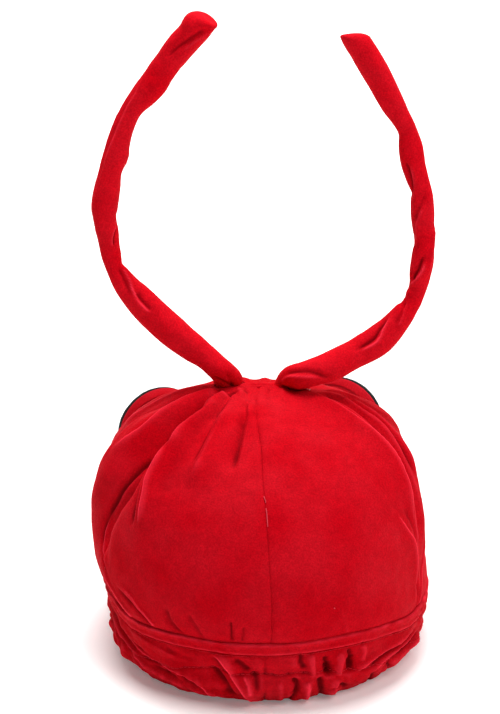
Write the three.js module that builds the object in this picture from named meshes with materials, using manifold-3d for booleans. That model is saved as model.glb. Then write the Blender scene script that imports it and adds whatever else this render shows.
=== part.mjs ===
// Ant costume hat: a soft velvet cap with two long wired antennae and two stuffed eyes.
//
// The hat stands on its rim. +Z is up, +Y is the side with the eyes, and lengths are millimetres.
// Azimuth runs round the hat in degrees: 0 at the centre of the back, 90 at +X, 180 at the brow.
// "Along" runs down the cloth: 0 at the ridge over the top, 1 at the rim.

import * as THREE from 'three';
import { mergeVertices } from 'three/addons/utils/BufferGeometryUtils.js';
import Module from 'manifold-3d';

// Sizes of the cap
const hatWidth = 202;
const backDepth = 112;
const frontDepth = 116;
const hatHeight = 166;
const ridgeLength = 24;
const clothWall = 2.4;
const bandWall = 2.8;
const seamGap = 0.3;
const foldDepth = 9;
const ruffleDepth = 3.4;
const ruffleCount = 30;
const weltStand = 1.2;

// Sizes of the antennae and the eyes
const antennaReach = 96;
const antennaRise = 223;
const antennaLean = 14;
const antennaWidth = 15;
const eyeRadius = 29;
const eyeFaceDepth = 18;
const eyeBackDepth = 20;
const eyeLift = 3;
const eyeTurn = 27;

// Where the crown ends, the welt lies and the band starts, along the cloth
const crownHemShare = 0.785;
const bandTopShare = 0.815;

// How finely the cloth is divided
const backColumns = 20;
const frontColumns = 32;
const crownRows = 14;
const weltColumns = 72;
const bandColumns = 112;
const bandRows = 5;
const antennaSteps = 32;
const antennaSides = 10;
const domeSides = 16;
const domeSteps = 5;

// The form of the cloth, top to bottom: height as a share of hatHeight, and how far it reaches to the
// left and right, as shares of half of hatWidth, and to the back and front, of backDepth and frontDepth.
const FORM = makeTable(['along', 'height', 'left', 'right', 'back', 'front'], [
  [0.00, 0.988, 0.000, 0.000, 0.000, 0.000],
  [0.13, 0.961, 0.360, 0.330, 0.270, 0.200],
  [0.24, 0.900, 0.620, 0.580, 0.500, 0.420],
  [0.35, 0.818, 0.813, 0.763, 0.693, 0.623],
  [0.45, 0.722, 0.928, 0.884, 0.834, 0.796],
  [0.54, 0.607, 0.977, 0.943, 0.932, 0.913],
  [0.63, 0.490, 1.001, 0.988, 0.987, 0.978],
  [0.71, 0.383, 1.010, 1.001, 1.000, 1.000],
  [0.76, 0.308, 0.982, 1.019, 0.991, 0.982],
  [0.81, 0.229, 0.935, 1.010, 0.960, 0.945],
  [0.86, 0.169, 0.940, 1.019, 0.965, 0.949],
  [0.905, 0.115, 0.930, 1.005, 0.950, 0.940],
  [0.95, 0.060, 0.902, 0.962, 0.917, 0.912],
  [1.00, 0.000, 0.830, 0.870, 0.830, 0.840],
]);
const planPower = 2.15;
const ridgeAngle = 70;

// The welt doesn't run level: its lift by azimuth, as a share of hatHeight.
const WELT_LIFT = makeTable(['azimuth', 'lift'], [
  [-180, 0.000],
  [-90, 0.000],
  [-62, 0.014],
  [-48, -0.002],
  [-20, 0.014],
  [0, 0.010],
  [25, 0.014],
  [42, 0.002],
  [58, -0.026],
  [90, -0.030],
  [150, 0.000],
  [180, 0.000],
]);

// The three seams of the crown, as azimuths down the cloth.
const SEAMS = makeTable(['along', 'left', 'centre', 'right'], [
  [0.00, -70.0, -8.0, 70.0],
  [0.07, -66.0, -7.0, 82.0],
  [0.17, -50.0, -3.0, 75.0],
  [0.26, -52.0, 0.0, 71.5],
  [0.35, -54.0, 0.5, 69.5],
  [0.44, -55.0, 1.5, 70.0],
  [0.52, -59.5, 2.0, 68.5],
  [0.60, -63.0, 2.5, 66.0],
  [0.70, -63.0, 3.0, 62.5],
  [1.00, -62.0, 3.0, 62.0],
]);

// Folds of the cloth. Each follows a seam or, with none, the hat's azimuths, from one place along the
// cloth to another, and start, third, late and end are its azimuths from that seam at four even steps.
// High is its height as a share of foldDepth, and less and more are its widths in degrees on the side
// of lower and of higher azimuth.
const foldColumns = ['name', 'seam', 'from', 'to', 'start', 'third', 'late', 'end', 'high', 'less', 'more'];
const FOLDS = nameColumns(foldColumns, [
  ['deep crease', 'left', 0.03, 0.72, -1, -1, -1, -1, -1.00, 6, 4],
  ['roll beside it', 'left', 0.05, 0.74, -12, -18, -17, -17, 0.55, 10, 7],
  ['edge of the back', 'left', 0.05, 0.58, 17, 5, 8, 18, 0.50, 4, 9],
  ['hollow behind it', 'centre', 0.10, 0.50, -32, -38, -38.5, -38, -0.35, 5, 5],
  ['middle crest', 'centre', 0.12, 0.40, -23, -30.5, -30.5, -29, 0.32, 4, 6],
  ['near crest', 'centre', 0.10, 0.42, -11.5, -17.5, -23, -26, 0.22, 4, 6],
  ['hollow by the seam', 'centre', 0.12, 0.34, -8, -10.5, -12, -12.5, -0.30, 4, 5],
  ['right edge', 'right', 0.06, 0.72, -3, -3, -3, -3, 0.28, 8, 4],
  ['right pleat hollow', 'right', 0.08, 0.72, 2.5, 3.5, 3, 4.5, -0.45, 3, 4],
  ['right pleat', 'right', 0.08, 0.72, 13, 13, 10.5, 11.5, 0.30, 5, 5],
  ['right shoulder', 'right', 0.10, 0.50, 10, 26, 40, 47, 0.35, 7, 7],
  ['brow hollow', 'none', 0.12, 0.50, 180, 180, 180, 180, -0.30, 14, 14],
]);
const BAND_FOLDS = nameColumns(foldColumns, [
  ['long fold', 'none', 0.83, 0.99, -100, -62, -36, -12, 0.30, 7, 12],
  ['its hollow', 'none', 0.83, 0.99, -84, -48, -24, -2, -0.40, 8, 8],
  ['lower fold', 'none', 0.86, 0.99, -125, -92, -70, -52, 0.22, 8, 9],
]);

// How the band swells between its seams: body and ruffle height as shares of ruffleDepth.
const BAND_SWELL = makeTable(['along', 'body', 'ruffle'], [
  [0.815, 0.00, 0.00],
  [0.845, -0.25, 0.70],
  [0.885, -0.85, 0.55],
  [0.935, -0.30, 0.90],
  [1.000, -0.45, 0.70],
]);

// The antennae from root to tip: out as a share of antennaReach, up of antennaRise above the ridge,
// fore of antennaLean, and wide of antennaWidth.
const LEFT_ANTENNA = [
  { out: 0.205, up: -0.020, fore: 0.10, wide: 1.00 },
  { out: 0.225, up: 0.023, fore: 0.05, wide: 1.00 },
  { out: 0.302, up: 0.063, fore: 0.10, wide: 1.02 },
  { out: 0.427, up: 0.104, fore: 0.25, wide: 1.14 },
  { out: 0.579, up: 0.158, fore: 0.40, wide: 1.22 },
  { out: 0.719, up: 0.215, fore: 0.53, wide: 1.20 },
  { out: 0.842, up: 0.277, fore: 0.64, wide: 1.00 },
  { out: 0.920, up: 0.335, fore: 0.74, wide: 0.76 },
  { out: 0.947, up: 0.416, fore: 0.82, wide: 0.92 },
  { out: 0.965, up: 0.479, fore: 0.89, wide: 1.02 },
  { out: 0.934, up: 0.560, fore: 0.95, wide: 0.99 },
  { out: 0.882, up: 0.641, fore: 1.00, wide: 0.98 },
  { out: 0.787, up: 0.750, fore: 1.00, wide: 0.86 },
  { out: 0.684, up: 0.804, fore: 0.97, wide: 1.08 },
  { out: 0.503, up: 0.911, fore: 0.87, wide: 1.13 },
  { out: 0.401, up: 0.964, fore: 0.79, wide: 1.18 },
  { out: 0.348, up: 0.992, fore: 0.70, wide: 1.02 },
];
const RIGHT_ANTENNA = [
  { out: 0.170, up: -0.020, fore: 0.00, wide: 0.95 },
  { out: 0.195, up: 0.021, fore: -0.10, wide: 0.98 },
  { out: 0.285, up: 0.042, fore: -0.35, wide: 1.04 },
  { out: 0.417, up: 0.059, fore: -0.20, wide: 1.12 },
  { out: 0.580, up: 0.086, fore: 0.19, wide: 1.17 },
  { out: 0.728, up: 0.118, fore: 0.44, wide: 1.22 },
  { out: 0.862, up: 0.178, fore: 0.60, wide: 0.98 },
  { out: 0.954, up: 0.240, fore: 0.71, wide: 0.75 },
  { out: 0.989, up: 0.303, fore: 0.79, wide: 0.93 },
  { out: 1.001, up: 0.435, fore: 0.92, wide: 0.91 },
  { out: 0.984, up: 0.532, fore: 0.96, wide: 0.84 },
  { out: 0.917, up: 0.641, fore: 1.00, wide: 0.98 },
  { out: 0.889, up: 0.695, fore: 0.99, wide: 0.80 },
  { out: 0.820, up: 0.750, fore: 0.96, wide: 0.91 },
  { out: 0.685, up: 0.858, fore: 0.86, wide: 1.10 },
  { out: 0.612, up: 0.911, fore: 0.79, wide: 1.08 },
  { out: 0.560, up: 0.941, fore: 0.71, wide: 1.10 },
];
const leftTipSlantRatio = 0.15;
const rightTipSlantRatio = -0.75;

// Where the middle of each eye sits on the crown
const leftEye = { azimuth: -146, along: 0.555 };
const rightEye = { azimuth: 152, along: 0.53 };

// Rows of a table as objects with the columns' names
function nameColumns(names, rows) {
  return rows.map((row) => Object.fromEntries(names.map((name, i) => [name, row[i]])));
}

// Tables: rows of a rising key and values, read with a smooth curve that never swings past a row
function makeTable(names, rows) {
  const keys = rows.map((row) => row[0]);
  const columns = names.slice(1).map((name, index) => {
    const values = rows.map((row) => row[index + 1]);
    return { name, values, slopes: easySlopes(keys, values) };
  });
  return { keys, columns };
}

function easySlopes(keys, values) {
  const chords = keys.slice(1).map((key, i) => (values[i + 1] - values[i]) / (key - keys[i]));
  return keys.map((key, i) => {
    if (i === 0) {
      return chords[0];
    }
    if (i === chords.length) {
      return chords[i - 1];
    }
    const product = chords[i - 1] * chords[i];
    return product <= 0 ? 0 : (2 * product) / (chords[i - 1] + chords[i]);
  });
}

function readTable(table, at) {
  const { keys, columns } = table;
  const key = THREE.MathUtils.clamp(at, keys[0], keys[keys.length - 1]);
  let i = 0;
  while (i < keys.length - 2 && key > keys[i + 1]) {
    i += 1;
  }
  const span = keys[i + 1] - keys[i];
  const t = (key - keys[i]) / span;
  const result = {};
  for (const { name, values, slopes } of columns) {
    const start = values[i] * (1 + 2 * t) * (1 - t) ** 2 + slopes[i] * span * t * (1 - t) ** 2;
    const end = values[i + 1] * t * t * (3 - 2 * t) + slopes[i + 1] * span * t * t * (t - 1);
    result[name] = start + end;
  }
  return result;
}

// The smooth form under the folds
function weltShare(along) {
  const above = THREE.MathUtils.smoothstep(along, 0.45, crownHemShare - 0.02);
  const below = 1 - THREE.MathUtils.smoothstep(along, bandTopShare, 1);
  return above * below;
}

function formPoint(azimuth, along) {
  const row = readTable(FORM, along);
  const angle = THREE.MathUtils.degToRad(azimuth);
  const sideways = Math.sin(angle);
  const backward = Math.cos(angle);
  const halfWidth = Math.max(0.5 * hatWidth * (sideways < 0 ? row.left : row.right), 1e-6);
  const depth = Math.max(backward > 0 ? row.back * backDepth : row.front * frontDepth, 1e-6);
  const widthTerm = (Math.abs(sideways) / halfWidth) ** planPower;
  const depthTerm = (Math.abs(backward) / depth) ** planPower;
  const radius = (widthTerm + depthTerm) ** (-1 / planPower);
  const ridgeShare = Math.abs(azimuth) < ridgeAngle
    ? azimuth / ridgeAngle
    : (Math.sign(azimuth) * (180 - Math.abs(azimuth))) / (180 - ridgeAngle);
  const spread = Math.min((row.left + row.right) / 2, 1);
  const lift = readTable(WELT_LIFT, azimuth).lift * weltShare(along);
  return new THREE.Vector3(
    radius * sideways + 0.5 * ridgeLength * ridgeShare * (1 - spread),
    -radius * backward,
    hatHeight * (row.height + lift),
  );
}

// The direction in which the cloth's thickness is measured: square to the form, upright at the
// ridge so that the seam over the top stays open, and level at the rim so that the hat rests flat.
function wallDirection(azimuth, along) {
  const step = 0.01;
  const at = THREE.MathUtils.clamp(along, 3 * step, 1 - step);
  const turn = 1;
  const down = formPoint(azimuth, at + step).sub(formPoint(azimuth, at - step));
  const before = azimuth - turn < -180 ? azimuth - turn + 360 : azimuth - turn;
  const after = azimuth + turn > 180 ? azimuth + turn - 360 : azimuth + turn;
  const round = formPoint(after, at).sub(formPoint(before, at));
  const square = down.cross(round).normalize();
  const fromRidge = THREE.MathUtils.smoothstep(along, 0, 0.1);
  square.lerp(new THREE.Vector3(0, 0, 1), 1 - fromRidge);
  square.z *= 1 - THREE.MathUtils.smoothstep(along, 0.93, 1);
  return square.normalize();
}

// Where a fold lies at a place along the cloth
function foldAzimuth(fold, along) {
  const { from, to, start, third, late, end } = fold;
  const line = makeTable(['step', 'azimuth'], [[0, start], [1, third], [2, late], [3, end]]);
  const fromSeam = readTable(line, (3 * (along - from)) / (to - from)).azimuth;
  return fromSeam + (fold.seam === 'none' ? 0 : readTable(SEAMS, along)[fold.seam]);
}

function foldHeight(folds, azimuth, along) {
  let height = 0;
  for (const fold of folds) {
    const { from, to, high, less, more } = fold;
    const fade = 0.3 * (to - from);
    const window = THREE.MathUtils.smoothstep(along, from, from + fade)
      * (1 - THREE.MathUtils.smoothstep(along, to - fade, to));
    if (window > 0) {
      let away = azimuth - foldAzimuth(fold, along);
      away -= 360 * Math.round(away / 360);
      height += high * window * Math.exp(-((away / (away < 0 ? less : more)) ** 2));
    }
  }
  return height * foldDepth;
}

function crownRelief(azimuth, along) {
  return foldHeight(FOLDS, azimuth, along);
}

// Ruffles of uneven pitch, upright on the right and lost in the slanting folds on the left
function bandRelief(azimuth, along) {
  const angle = THREE.MathUtils.degToRad(azimuth);
  const swell = readTable(BAND_SWELL, along);
  const phase = ruffleCount * angle + 1.6 * Math.sin(3 * angle + 0.7) + 1.1 * Math.sin(7 * angle + 2.1);
  const calm = 1 - 0.65 * Math.exp(-(((azimuth + 60) / 45) ** 2));
  const uneven = 0.75 + 0.25 * Math.sin(5 * angle + 1.3);
  const ruffle = Math.sin(phase + 3 * (along - bandTopShare)) * calm * uneven;
  return ruffleDepth * (swell.body + swell.ruffle * ruffle) + foldHeight(BAND_FOLDS, azimuth, along);
}

function clothPoint(azimuth, along, height) {
  return formPoint(azimuth, along).addScaledVector(wallDirection(azimuth, along), height);
}

// Length of the cloth from ridge to rim down the middle of the back, to turn gaps into shares
function clothLength() {
  const steps = 40;
  let length = 0;
  for (let i = 0; i < steps; i += 1) {
    length += formPoint(0, i / steps).distanceTo(formPoint(0, (i + 1) / steps));
  }
  return length;
}
const gapShare = seamGap / clothLength();
const ridgeHeight = formPoint(0, 0).z;

// A wall of cloth between two lines of azimuth and two of along. Outer and inner give its two
// faces as heights over the form. A closed wall runs the whole way round.
function clothWallGeometry({ left, right, from, to, columns, rows, outer, inner, closed = false }) {
  const positions = [];
  const index = [];
  const across = closed ? columns : columns + 1;
  const faces = [outer, inner];
  for (const face of faces) {
    for (let i = 0; i <= rows; i += 1) {
      const along = from + ((to - from) * i) / rows;
      for (let j = 0; j < across; j += 1) {
        const start = left(along);
        const azimuth = start + ((right(along) - start) * j) / columns;
        const wrapped = azimuth > 180 ? azimuth - 360 : azimuth;
        positions.push(...clothPoint(wrapped, along, face(wrapped, along)).toArray());
      }
    }
  }
  const layer = across * (rows + 1);
  const at = (face, i, j) => face * layer + i * across + (j % across);
  const quad = (a, b, c, d) => index.push(a, b, c, a, c, d);
  for (let i = 0; i < rows; i += 1) {
    for (let j = 0; j < columns; j += 1) {
      quad(at(0, i, j), at(0, i + 1, j), at(0, i + 1, j + 1), at(0, i, j + 1));
      quad(at(1, i, j), at(1, i, j + 1), at(1, i + 1, j + 1), at(1, i + 1, j));
    }
  }
  for (let j = 0; j < columns; j += 1) {
    quad(at(0, 0, j), at(0, 0, j + 1), at(1, 0, j + 1), at(1, 0, j));
    quad(at(0, rows, j), at(1, rows, j), at(1, rows, j + 1), at(0, rows, j + 1));
  }
  if (!closed) {
    for (let i = 0; i < rows; i += 1) {
      quad(at(0, i, 0), at(1, i, 0), at(1, i + 1, 0), at(0, i + 1, 0));
      quad(at(0, i, columns), at(0, i + 1, columns), at(1, i + 1, columns), at(1, i, columns));
    }
  }
  const geometry = new THREE.BufferGeometry();
  geometry.setAttribute('position', new THREE.Float32BufferAttribute(positions, 3));
  geometry.setIndex(index);
  return geometry;
}

// Half a seam's gap at a given place, in degrees of azimuth
function gapTurn(azimuth, along) {
  const turn = 0.5;
  const reach = formPoint(azimuth + turn, along).distanceTo(formPoint(azimuth - turn, along));
  return (0.5 * seamGap) / Math.max(reach, 0.01);
}

// One crown panel between two seams. Side is -1 or 1 for the seam's side that the panel keeps to.
function seamLine(name, side, turnOn = 0) {
  return (along) => {
    const azimuth = readTable(SEAMS, along)[name];
    return azimuth + turnOn + side * gapTurn(azimuth, along);
  };
}

function crownPanel(left, right, columns, outer, inner, side) {
  return clothWallGeometry({
    left,
    right,
    from: side < 0 ? 0 : gapShare,
    to: crownHemShare - 0.5 * side * gapShare,
    columns,
    rows: crownRows,
    outer: (azimuth, along) => crownRelief(azimuth, along) + outer,
    inner: (azimuth, along) => crownRelief(azimuth, along) + inner,
  });
}

const PANELS = {
  back_panel_left: { left: ['left', 1, 0], right: ['centre', -1, 0], columns: backColumns },
  back_panel_right: { left: ['centre', 1, 0], right: ['right', -1, 0], columns: backColumns },
  front_panel: { left: ['right', 1, 0], right: ['left', -1, 360], columns: frontColumns },
};

function panelGeometry(name, outer, inner, side = 1) {
  const { left, right, columns } = PANELS[name];
  const leftLine = seamLine(left[0], side * left[1], left[2]);
  const rightLine = seamLine(right[0], side * right[1], right[2]);
  return crownPanel(leftLine, rightLine, columns, outer, inner, side);
}

// Solids for cutting
const wasm = await Module();
wasm.setup();

function toSolid(geometry) {
  const bare = new THREE.BufferGeometry();
  bare.setAttribute('position', geometry.getAttribute('position').clone());
  bare.setIndex(geometry.getIndex());
  const merged = mergeVertices(bare, 1e-4);
  return new wasm.Manifold(new wasm.Mesh({
    numProp: 3,
    vertProperties: Float32Array.from(merged.getAttribute('position').array),
    triVerts: Uint32Array.from(merged.getIndex().array),
  }));
}

function toGeometry(solid) {
  const { vertProperties, triVerts } = solid.getMesh();
  const geometry = new THREE.BufferGeometry();
  geometry.setAttribute('position', new THREE.Float32BufferAttribute(vertProperties, 3));
  geometry.setIndex(Array.from(triVerts));
  return geometry;
}

// Everything within the crown's cloth, with a seam's gap outside it: what stands on the crown is
// cut by this, so that it seats on the cloth.
const seatDepth = eyeRadius;
const ridgeBar = new THREE.BoxGeometry(ridgeLength + 2 * seamGap, 2 * seamGap, seatDepth);
ridgeBar.translate(0, 0, ridgeHeight + seamGap - 0.5 * seatDepth);
const crownCore = Object.keys(PANELS)
  .map((name) => toSolid(panelGeometry(name, seamGap, -seatDepth, -1)))
  .reduce((whole, panel) => whole.add(panel), toSolid(ridgeBar));

function seatOnCrown(geometry) {
  return toGeometry(toSolid(geometry).subtract(crownCore).simplify(0.1 * seamGap));
}

// The strip sewn between crown and band, standing a little proud of both
function weltGeometry() {
  return clothWallGeometry({
    left: () => -180,
    right: () => 180,
    from: crownHemShare + 0.5 * gapShare,
    to: bandTopShare - 0.5 * gapShare,
    columns: weltColumns,
    rows: 1,
    outer: () => weltStand,
    inner: () => -clothWall,
    closed: true,
  });
}

function bandGeometry() {
  return clothWallGeometry({
    left: () => -180,
    right: () => 180,
    from: bandTopShare + 0.5 * gapShare,
    to: 1,
    columns: bandColumns,
    rows: bandRows,
    outer: (azimuth, along) => bandRelief(azimuth, along),
    inner: (azimuth, along) => bandRelief(azimuth, along) - bandWall,
    closed: true,
  });
}

// A stuffed sleeve along a bent wire, with the tip cut at a slant
function antennaGeometry(side, rows, tipSlant) {
  const points = rows.map(({ out, up, fore }) => new THREE.Vector3(
    side * out * antennaReach,
    fore * antennaLean,
    ridgeHeight + up * antennaRise,
  ));
  const curve = new THREE.CatmullRomCurve3(points, false, 'centripetal');
  const widths = makeTable(['row', 'wide'], rows.map(({ wide }, row) => [row, wide]));
  const positions = [];
  const index = [];
  const tangent = new THREE.Vector3(0, 0, 1);
  const normal = new THREE.Vector3(1, 0, 0);
  for (let i = 0; i <= antennaSteps; i += 1) {
    const t = curve.getUtoTmapping(i / antennaSteps);
    const centre = curve.getPoint(t);
    const next = curve.getTangent(t);
    normal.applyQuaternion(new THREE.Quaternion().setFromUnitVectors(tangent, next)).normalize();
    tangent.copy(next);
    const across = new THREE.Vector3().crossVectors(tangent, normal);
    const radius = 0.5 * antennaWidth * readTable(widths, t * (rows.length - 1)).wide;
    const slant = i === antennaSteps ? tipSlant : 0;
    for (let k = 0; k < antennaSides; k += 1) {
      const angle = (2 * Math.PI * k) / antennaSides;
      const point = centre.clone()
        .addScaledVector(normal, radius * Math.cos(angle))
        .addScaledVector(across, radius * Math.sin(angle))
        .addScaledVector(tangent, slant * radius * Math.cos(angle));
      positions.push(...point.toArray());
    }
  }
  const start = positions.length / 3;
  positions.push(...curve.getPoint(0).toArray(), ...curve.getPoint(1).toArray());
  const last = antennaSteps * antennaSides;
  for (let k = 0; k < antennaSides; k += 1) {
    const next = (k + 1) % antennaSides;
    for (let i = 0; i < antennaSteps; i += 1) {
      const ring = i * antennaSides;
      const above = ring + antennaSides;
      index.push(ring + k, ring + next, above + next, ring + k, above + next, above + k);
    }
    index.push(start, next, k, start + 1, last + k, last + next);
  }
  const geometry = new THREE.BufferGeometry();
  geometry.setAttribute('position', new THREE.Float32BufferAttribute(positions, 3));
  geometry.setIndex(index);
  return geometry;
}

// Half of a stuffed eye: a dome of the given depth on one side of the eye's seam, seated on the
// crown. Facing is 1 for the face and -1 for the back.
function eyeDome(place, side, depth, facing) {
  const profile = [new THREE.Vector2(0, 0)];
  for (let i = 0; i <= domeSteps; i += 1) {
    const angle = (0.5 * Math.PI * i) / domeSteps;
    profile.push(new THREE.Vector2(eyeRadius * Math.cos(angle), depth * Math.sin(angle)));
  }
  profile[profile.length - 1].x = 0;
  const geometry = new THREE.LatheGeometry(profile, domeSides);
  geometry.translate(0, 0.5 * seamGap, 0);
  if (facing < 0) {
    geometry.rotateX(Math.PI);
  }
  geometry.rotateZ(-side * THREE.MathUtils.degToRad(eyeTurn));
  const centre = clothPoint(place.azimuth, place.along, eyeLift);
  geometry.translate(centre.x, centre.y, centre.z);
  return seatOnCrown(facingOut(geometry));
}

// A closed mesh with its faces pointing out, whichever way they were made
function facingOut(geometry) {
  const bare = new THREE.BufferGeometry();
  bare.setAttribute('position', geometry.getAttribute('position').clone());
  bare.setIndex(geometry.getIndex());
  const merged = mergeVertices(bare, 1e-4);
  const position = merged.getAttribute('position');
  const old = Array.from(merged.getIndex().array);
  const a = new THREE.Vector3();
  const b = new THREE.Vector3();
  const c = new THREE.Vector3();
  const kept = [];
  let volume = 0;
  for (let i = 0; i < old.length; i += 3) {
    const [p, q, r] = old.slice(i, i + 3);
    if (p !== q && q !== r && r !== p) {
      a.fromBufferAttribute(position, p);
      b.fromBufferAttribute(position, q);
      c.fromBufferAttribute(position, r);
      volume += a.dot(b.cross(c));
      kept.push(p, q, r);
    }
  }
  if (volume < 0) {
    for (let i = 0; i < kept.length; i += 3) {
      kept.splice(i + 1, 2, kept[i + 2], kept[i + 1]);
    }
  }
  merged.setIndex(kept);
  return merged;
}

// Finishes
const redVelvet = { color: 0xc80a1e, roughness: 0.85, metalness: 0 };
const blackCloth = { color: 0x0c0b0d, roughness: 0.45, metalness: 0 };

function piece(name, geometry, finish) {
  geometry.computeVertexNormals();
  const mesh = new THREE.Mesh(geometry, new THREE.MeshStandardMaterial(finish));
  mesh.name = name;
  return mesh;
}

const hat = new THREE.Group();
hat.name = 'ant_costume_hat';

for (const name of Object.keys(PANELS)) {
  hat.add(piece(name, panelGeometry(name, 0, -clothWall), redVelvet));
}
hat.add(piece('band_welt', weltGeometry(), redVelvet));
hat.add(piece('gathered_band', bandGeometry(), redVelvet));
const leftSleeve = antennaGeometry(-1, LEFT_ANTENNA, leftTipSlantRatio);
const rightSleeve = antennaGeometry(1, RIGHT_ANTENNA, rightTipSlantRatio);
hat.add(piece('antenna_left', seatOnCrown(leftSleeve), redVelvet));
hat.add(piece('antenna_right', seatOnCrown(rightSleeve), redVelvet));
hat.add(piece('eye_back_left', eyeDome(leftEye, -1, eyeBackDepth, -1), redVelvet));
hat.add(piece('eye_back_right', eyeDome(rightEye, 1, eyeBackDepth, -1), redVelvet));
hat.add(piece('eye_face_left', eyeDome(leftEye, -1, eyeFaceDepth, 1), blackCloth));
hat.add(piece('eye_face_right', eyeDome(rightEye, 1, eyeFaceDepth, 1), blackCloth));

// The origin is the middle of the hat's box, at the rim.
const box = new THREE.Box3().setFromObject(hat, true);
hat.position.set(-0.5 * (box.min.x + box.max.x), -0.5 * (box.min.y + box.max.y), -box.min.z);
hat.updateMatrixWorld(true);

export default hat;
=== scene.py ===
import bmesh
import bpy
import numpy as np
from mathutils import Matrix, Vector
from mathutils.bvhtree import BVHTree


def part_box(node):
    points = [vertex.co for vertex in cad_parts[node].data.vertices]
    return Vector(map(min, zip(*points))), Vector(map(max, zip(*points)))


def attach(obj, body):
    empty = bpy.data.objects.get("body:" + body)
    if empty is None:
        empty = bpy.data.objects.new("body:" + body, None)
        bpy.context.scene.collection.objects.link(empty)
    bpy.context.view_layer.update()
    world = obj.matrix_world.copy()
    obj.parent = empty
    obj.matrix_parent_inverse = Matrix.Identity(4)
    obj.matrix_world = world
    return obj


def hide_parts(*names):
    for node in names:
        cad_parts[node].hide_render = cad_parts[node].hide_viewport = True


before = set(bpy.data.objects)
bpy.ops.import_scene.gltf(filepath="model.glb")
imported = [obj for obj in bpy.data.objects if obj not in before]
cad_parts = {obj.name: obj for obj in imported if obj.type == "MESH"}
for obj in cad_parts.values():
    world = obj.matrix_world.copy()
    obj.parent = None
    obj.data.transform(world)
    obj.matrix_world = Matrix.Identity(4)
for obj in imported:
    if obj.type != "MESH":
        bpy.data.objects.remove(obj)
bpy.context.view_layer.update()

# %% [markdown]
# # A velvet ant costume hat, seen from behind
# The hat is a soft cap of red velvet panels on a gathered band. Two long antennae, velvet sleeves over
# a bent wire, stand on its ridge, and the backs of two stuffed eyes look over its shoulders. The packed
# CAD model was loaded above as a fixed frame: it says where each piece is and how big it is. Every
# piece below is made in that frame, rides on its one body, "root", and takes the place of the plain
# solid of the same name.

# %% [markdown]
# ## Sizes and tables
# The cap is described by a few named sizes and short tables, in millimetres. "Azimuth" runs round the
# hat in degrees, 0 at the centre of the back, 90 at +X and 180 at the brow. "Along" runs down the cloth,
# 0 at the ridge over the top and 1 at the rim. The CAD solids were made from the same tables, so the
# cloth made here lies where those solids are, apart from its fine folds, the antennae's feet (set back 4
# to 8 mm) and the eyes (moved 2 to 3 mm). MM turns a length into Blender's metres.

# %% Sizes
MM = 0.001
HAT_WIDTH, BACK_DEPTH, FRONT_DEPTH, HAT_HEIGHT = 202.0, 112.0, 116.0, 166.0
RIDGE_LENGTH = 24.0
CLOTH_WALL, BAND_WALL, SEAM_GAP, WELT_STAND = 2.4, 2.8, 0.3, 1.2
FOLD_DEPTH, RUFFLE_DEPTH, RUFFLE_COUNT = 9.0, 3.4, 30
CROWN_HEM, BAND_TOP = 0.785, 0.815
PLAN_POWER, RIDGE_ANGLE = 2.15, 70.0
EYE_RADIUS, EYE_FACE_DEPTH, EYE_BACK_DEPTH, EYE_LIFT, EYE_TURN = 29.0, 18.0, 20.0, 3.0, 27.0
FORWARD = np.array([0, np.cos(np.radians(20.0)), -np.sin(np.radians(20.0))])  # the camera's line of sight
ANTENNA_REACH, ANTENNA_RISE, ANTENNA_LEAN, ANTENNA_WIDTH = 96.0, 223.0, 14.0, 15.0


# %% Tables that are read with a smooth curve
def make_table(names, rows):
    """Rows of a rising key and its values, with the slope of a smooth curve at each row."""
    data = np.array(rows, float)
    keys, values = data[:, 0], data[:, 1:]
    chords = np.diff(values, axis=0) / np.diff(keys)[:, None]
    product = chords[:-1] * chords[1:]
    rising = product > 0
    inner = np.where(rising, 2 * product / np.where(rising, chords[:-1] + chords[1:], 1), 0)
    slopes = np.vstack([chords[:1], inner, chords[-1:]])
    return {"names": names.split()[1:], "keys": keys, "values": values, "slopes": slopes}


def read_table(table, at):
    """The table's values at any key, each under its name; the curve never swings past a row."""
    keys, values, slopes = table["keys"], table["values"], table["slopes"]
    key = np.clip(np.asarray(at, float), keys[0], keys[-1])
    i = np.clip(np.searchsorted(keys, key) - 1, 0, len(keys) - 2)
    span = (keys[i + 1] - keys[i])[..., None]
    t = (key - keys[i])[..., None] / span
    start = values[i] * (1 + 2 * t) * (1 - t) ** 2 + slopes[i] * span * t * (1 - t) ** 2
    end = values[i + 1] * t * t * (3 - 2 * t) + slopes[i + 1] * span * t * t * (t - 1)
    return {name: (start + end)[..., k] for k, name in enumerate(table["names"])}


def smoothstep(x, low, high):
    t = np.clip((x - low) / (high - low), 0, 1)
    return t * t * (3 - 2 * t)


def wrap(azimuth):
    """An azimuth or a difference of two, brought to -180 to 180 degrees."""
    return (np.asarray(azimuth, float) + 180) % 360 - 180


FORM = make_table("along height left right back front", [
    [0.00, 0.988, 0.000, 0.000, 0.000, 0.000],
    [0.13, 0.961, 0.360, 0.330, 0.270, 0.200],
    [0.24, 0.900, 0.620, 0.580, 0.500, 0.420],
    [0.35, 0.818, 0.813, 0.763, 0.693, 0.623],
    [0.45, 0.722, 0.928, 0.884, 0.834, 0.796],
    [0.54, 0.607, 0.977, 0.943, 0.932, 0.913],
    [0.63, 0.490, 1.001, 0.988, 0.987, 0.978],
    [0.71, 0.383, 1.010, 1.001, 1.000, 1.000],
    [0.76, 0.308, 0.982, 1.019, 0.991, 0.982],
    [0.81, 0.229, 0.935, 1.010, 0.960, 0.945],
    [0.86, 0.169, 0.940, 1.019, 0.965, 0.949],
    [0.905, 0.115, 0.930, 1.005, 0.950, 0.940],
    [0.95, 0.060, 0.902, 0.962, 0.917, 0.912],
    [1.00, 0.000, 0.830, 0.870, 0.830, 0.840],
])
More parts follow.
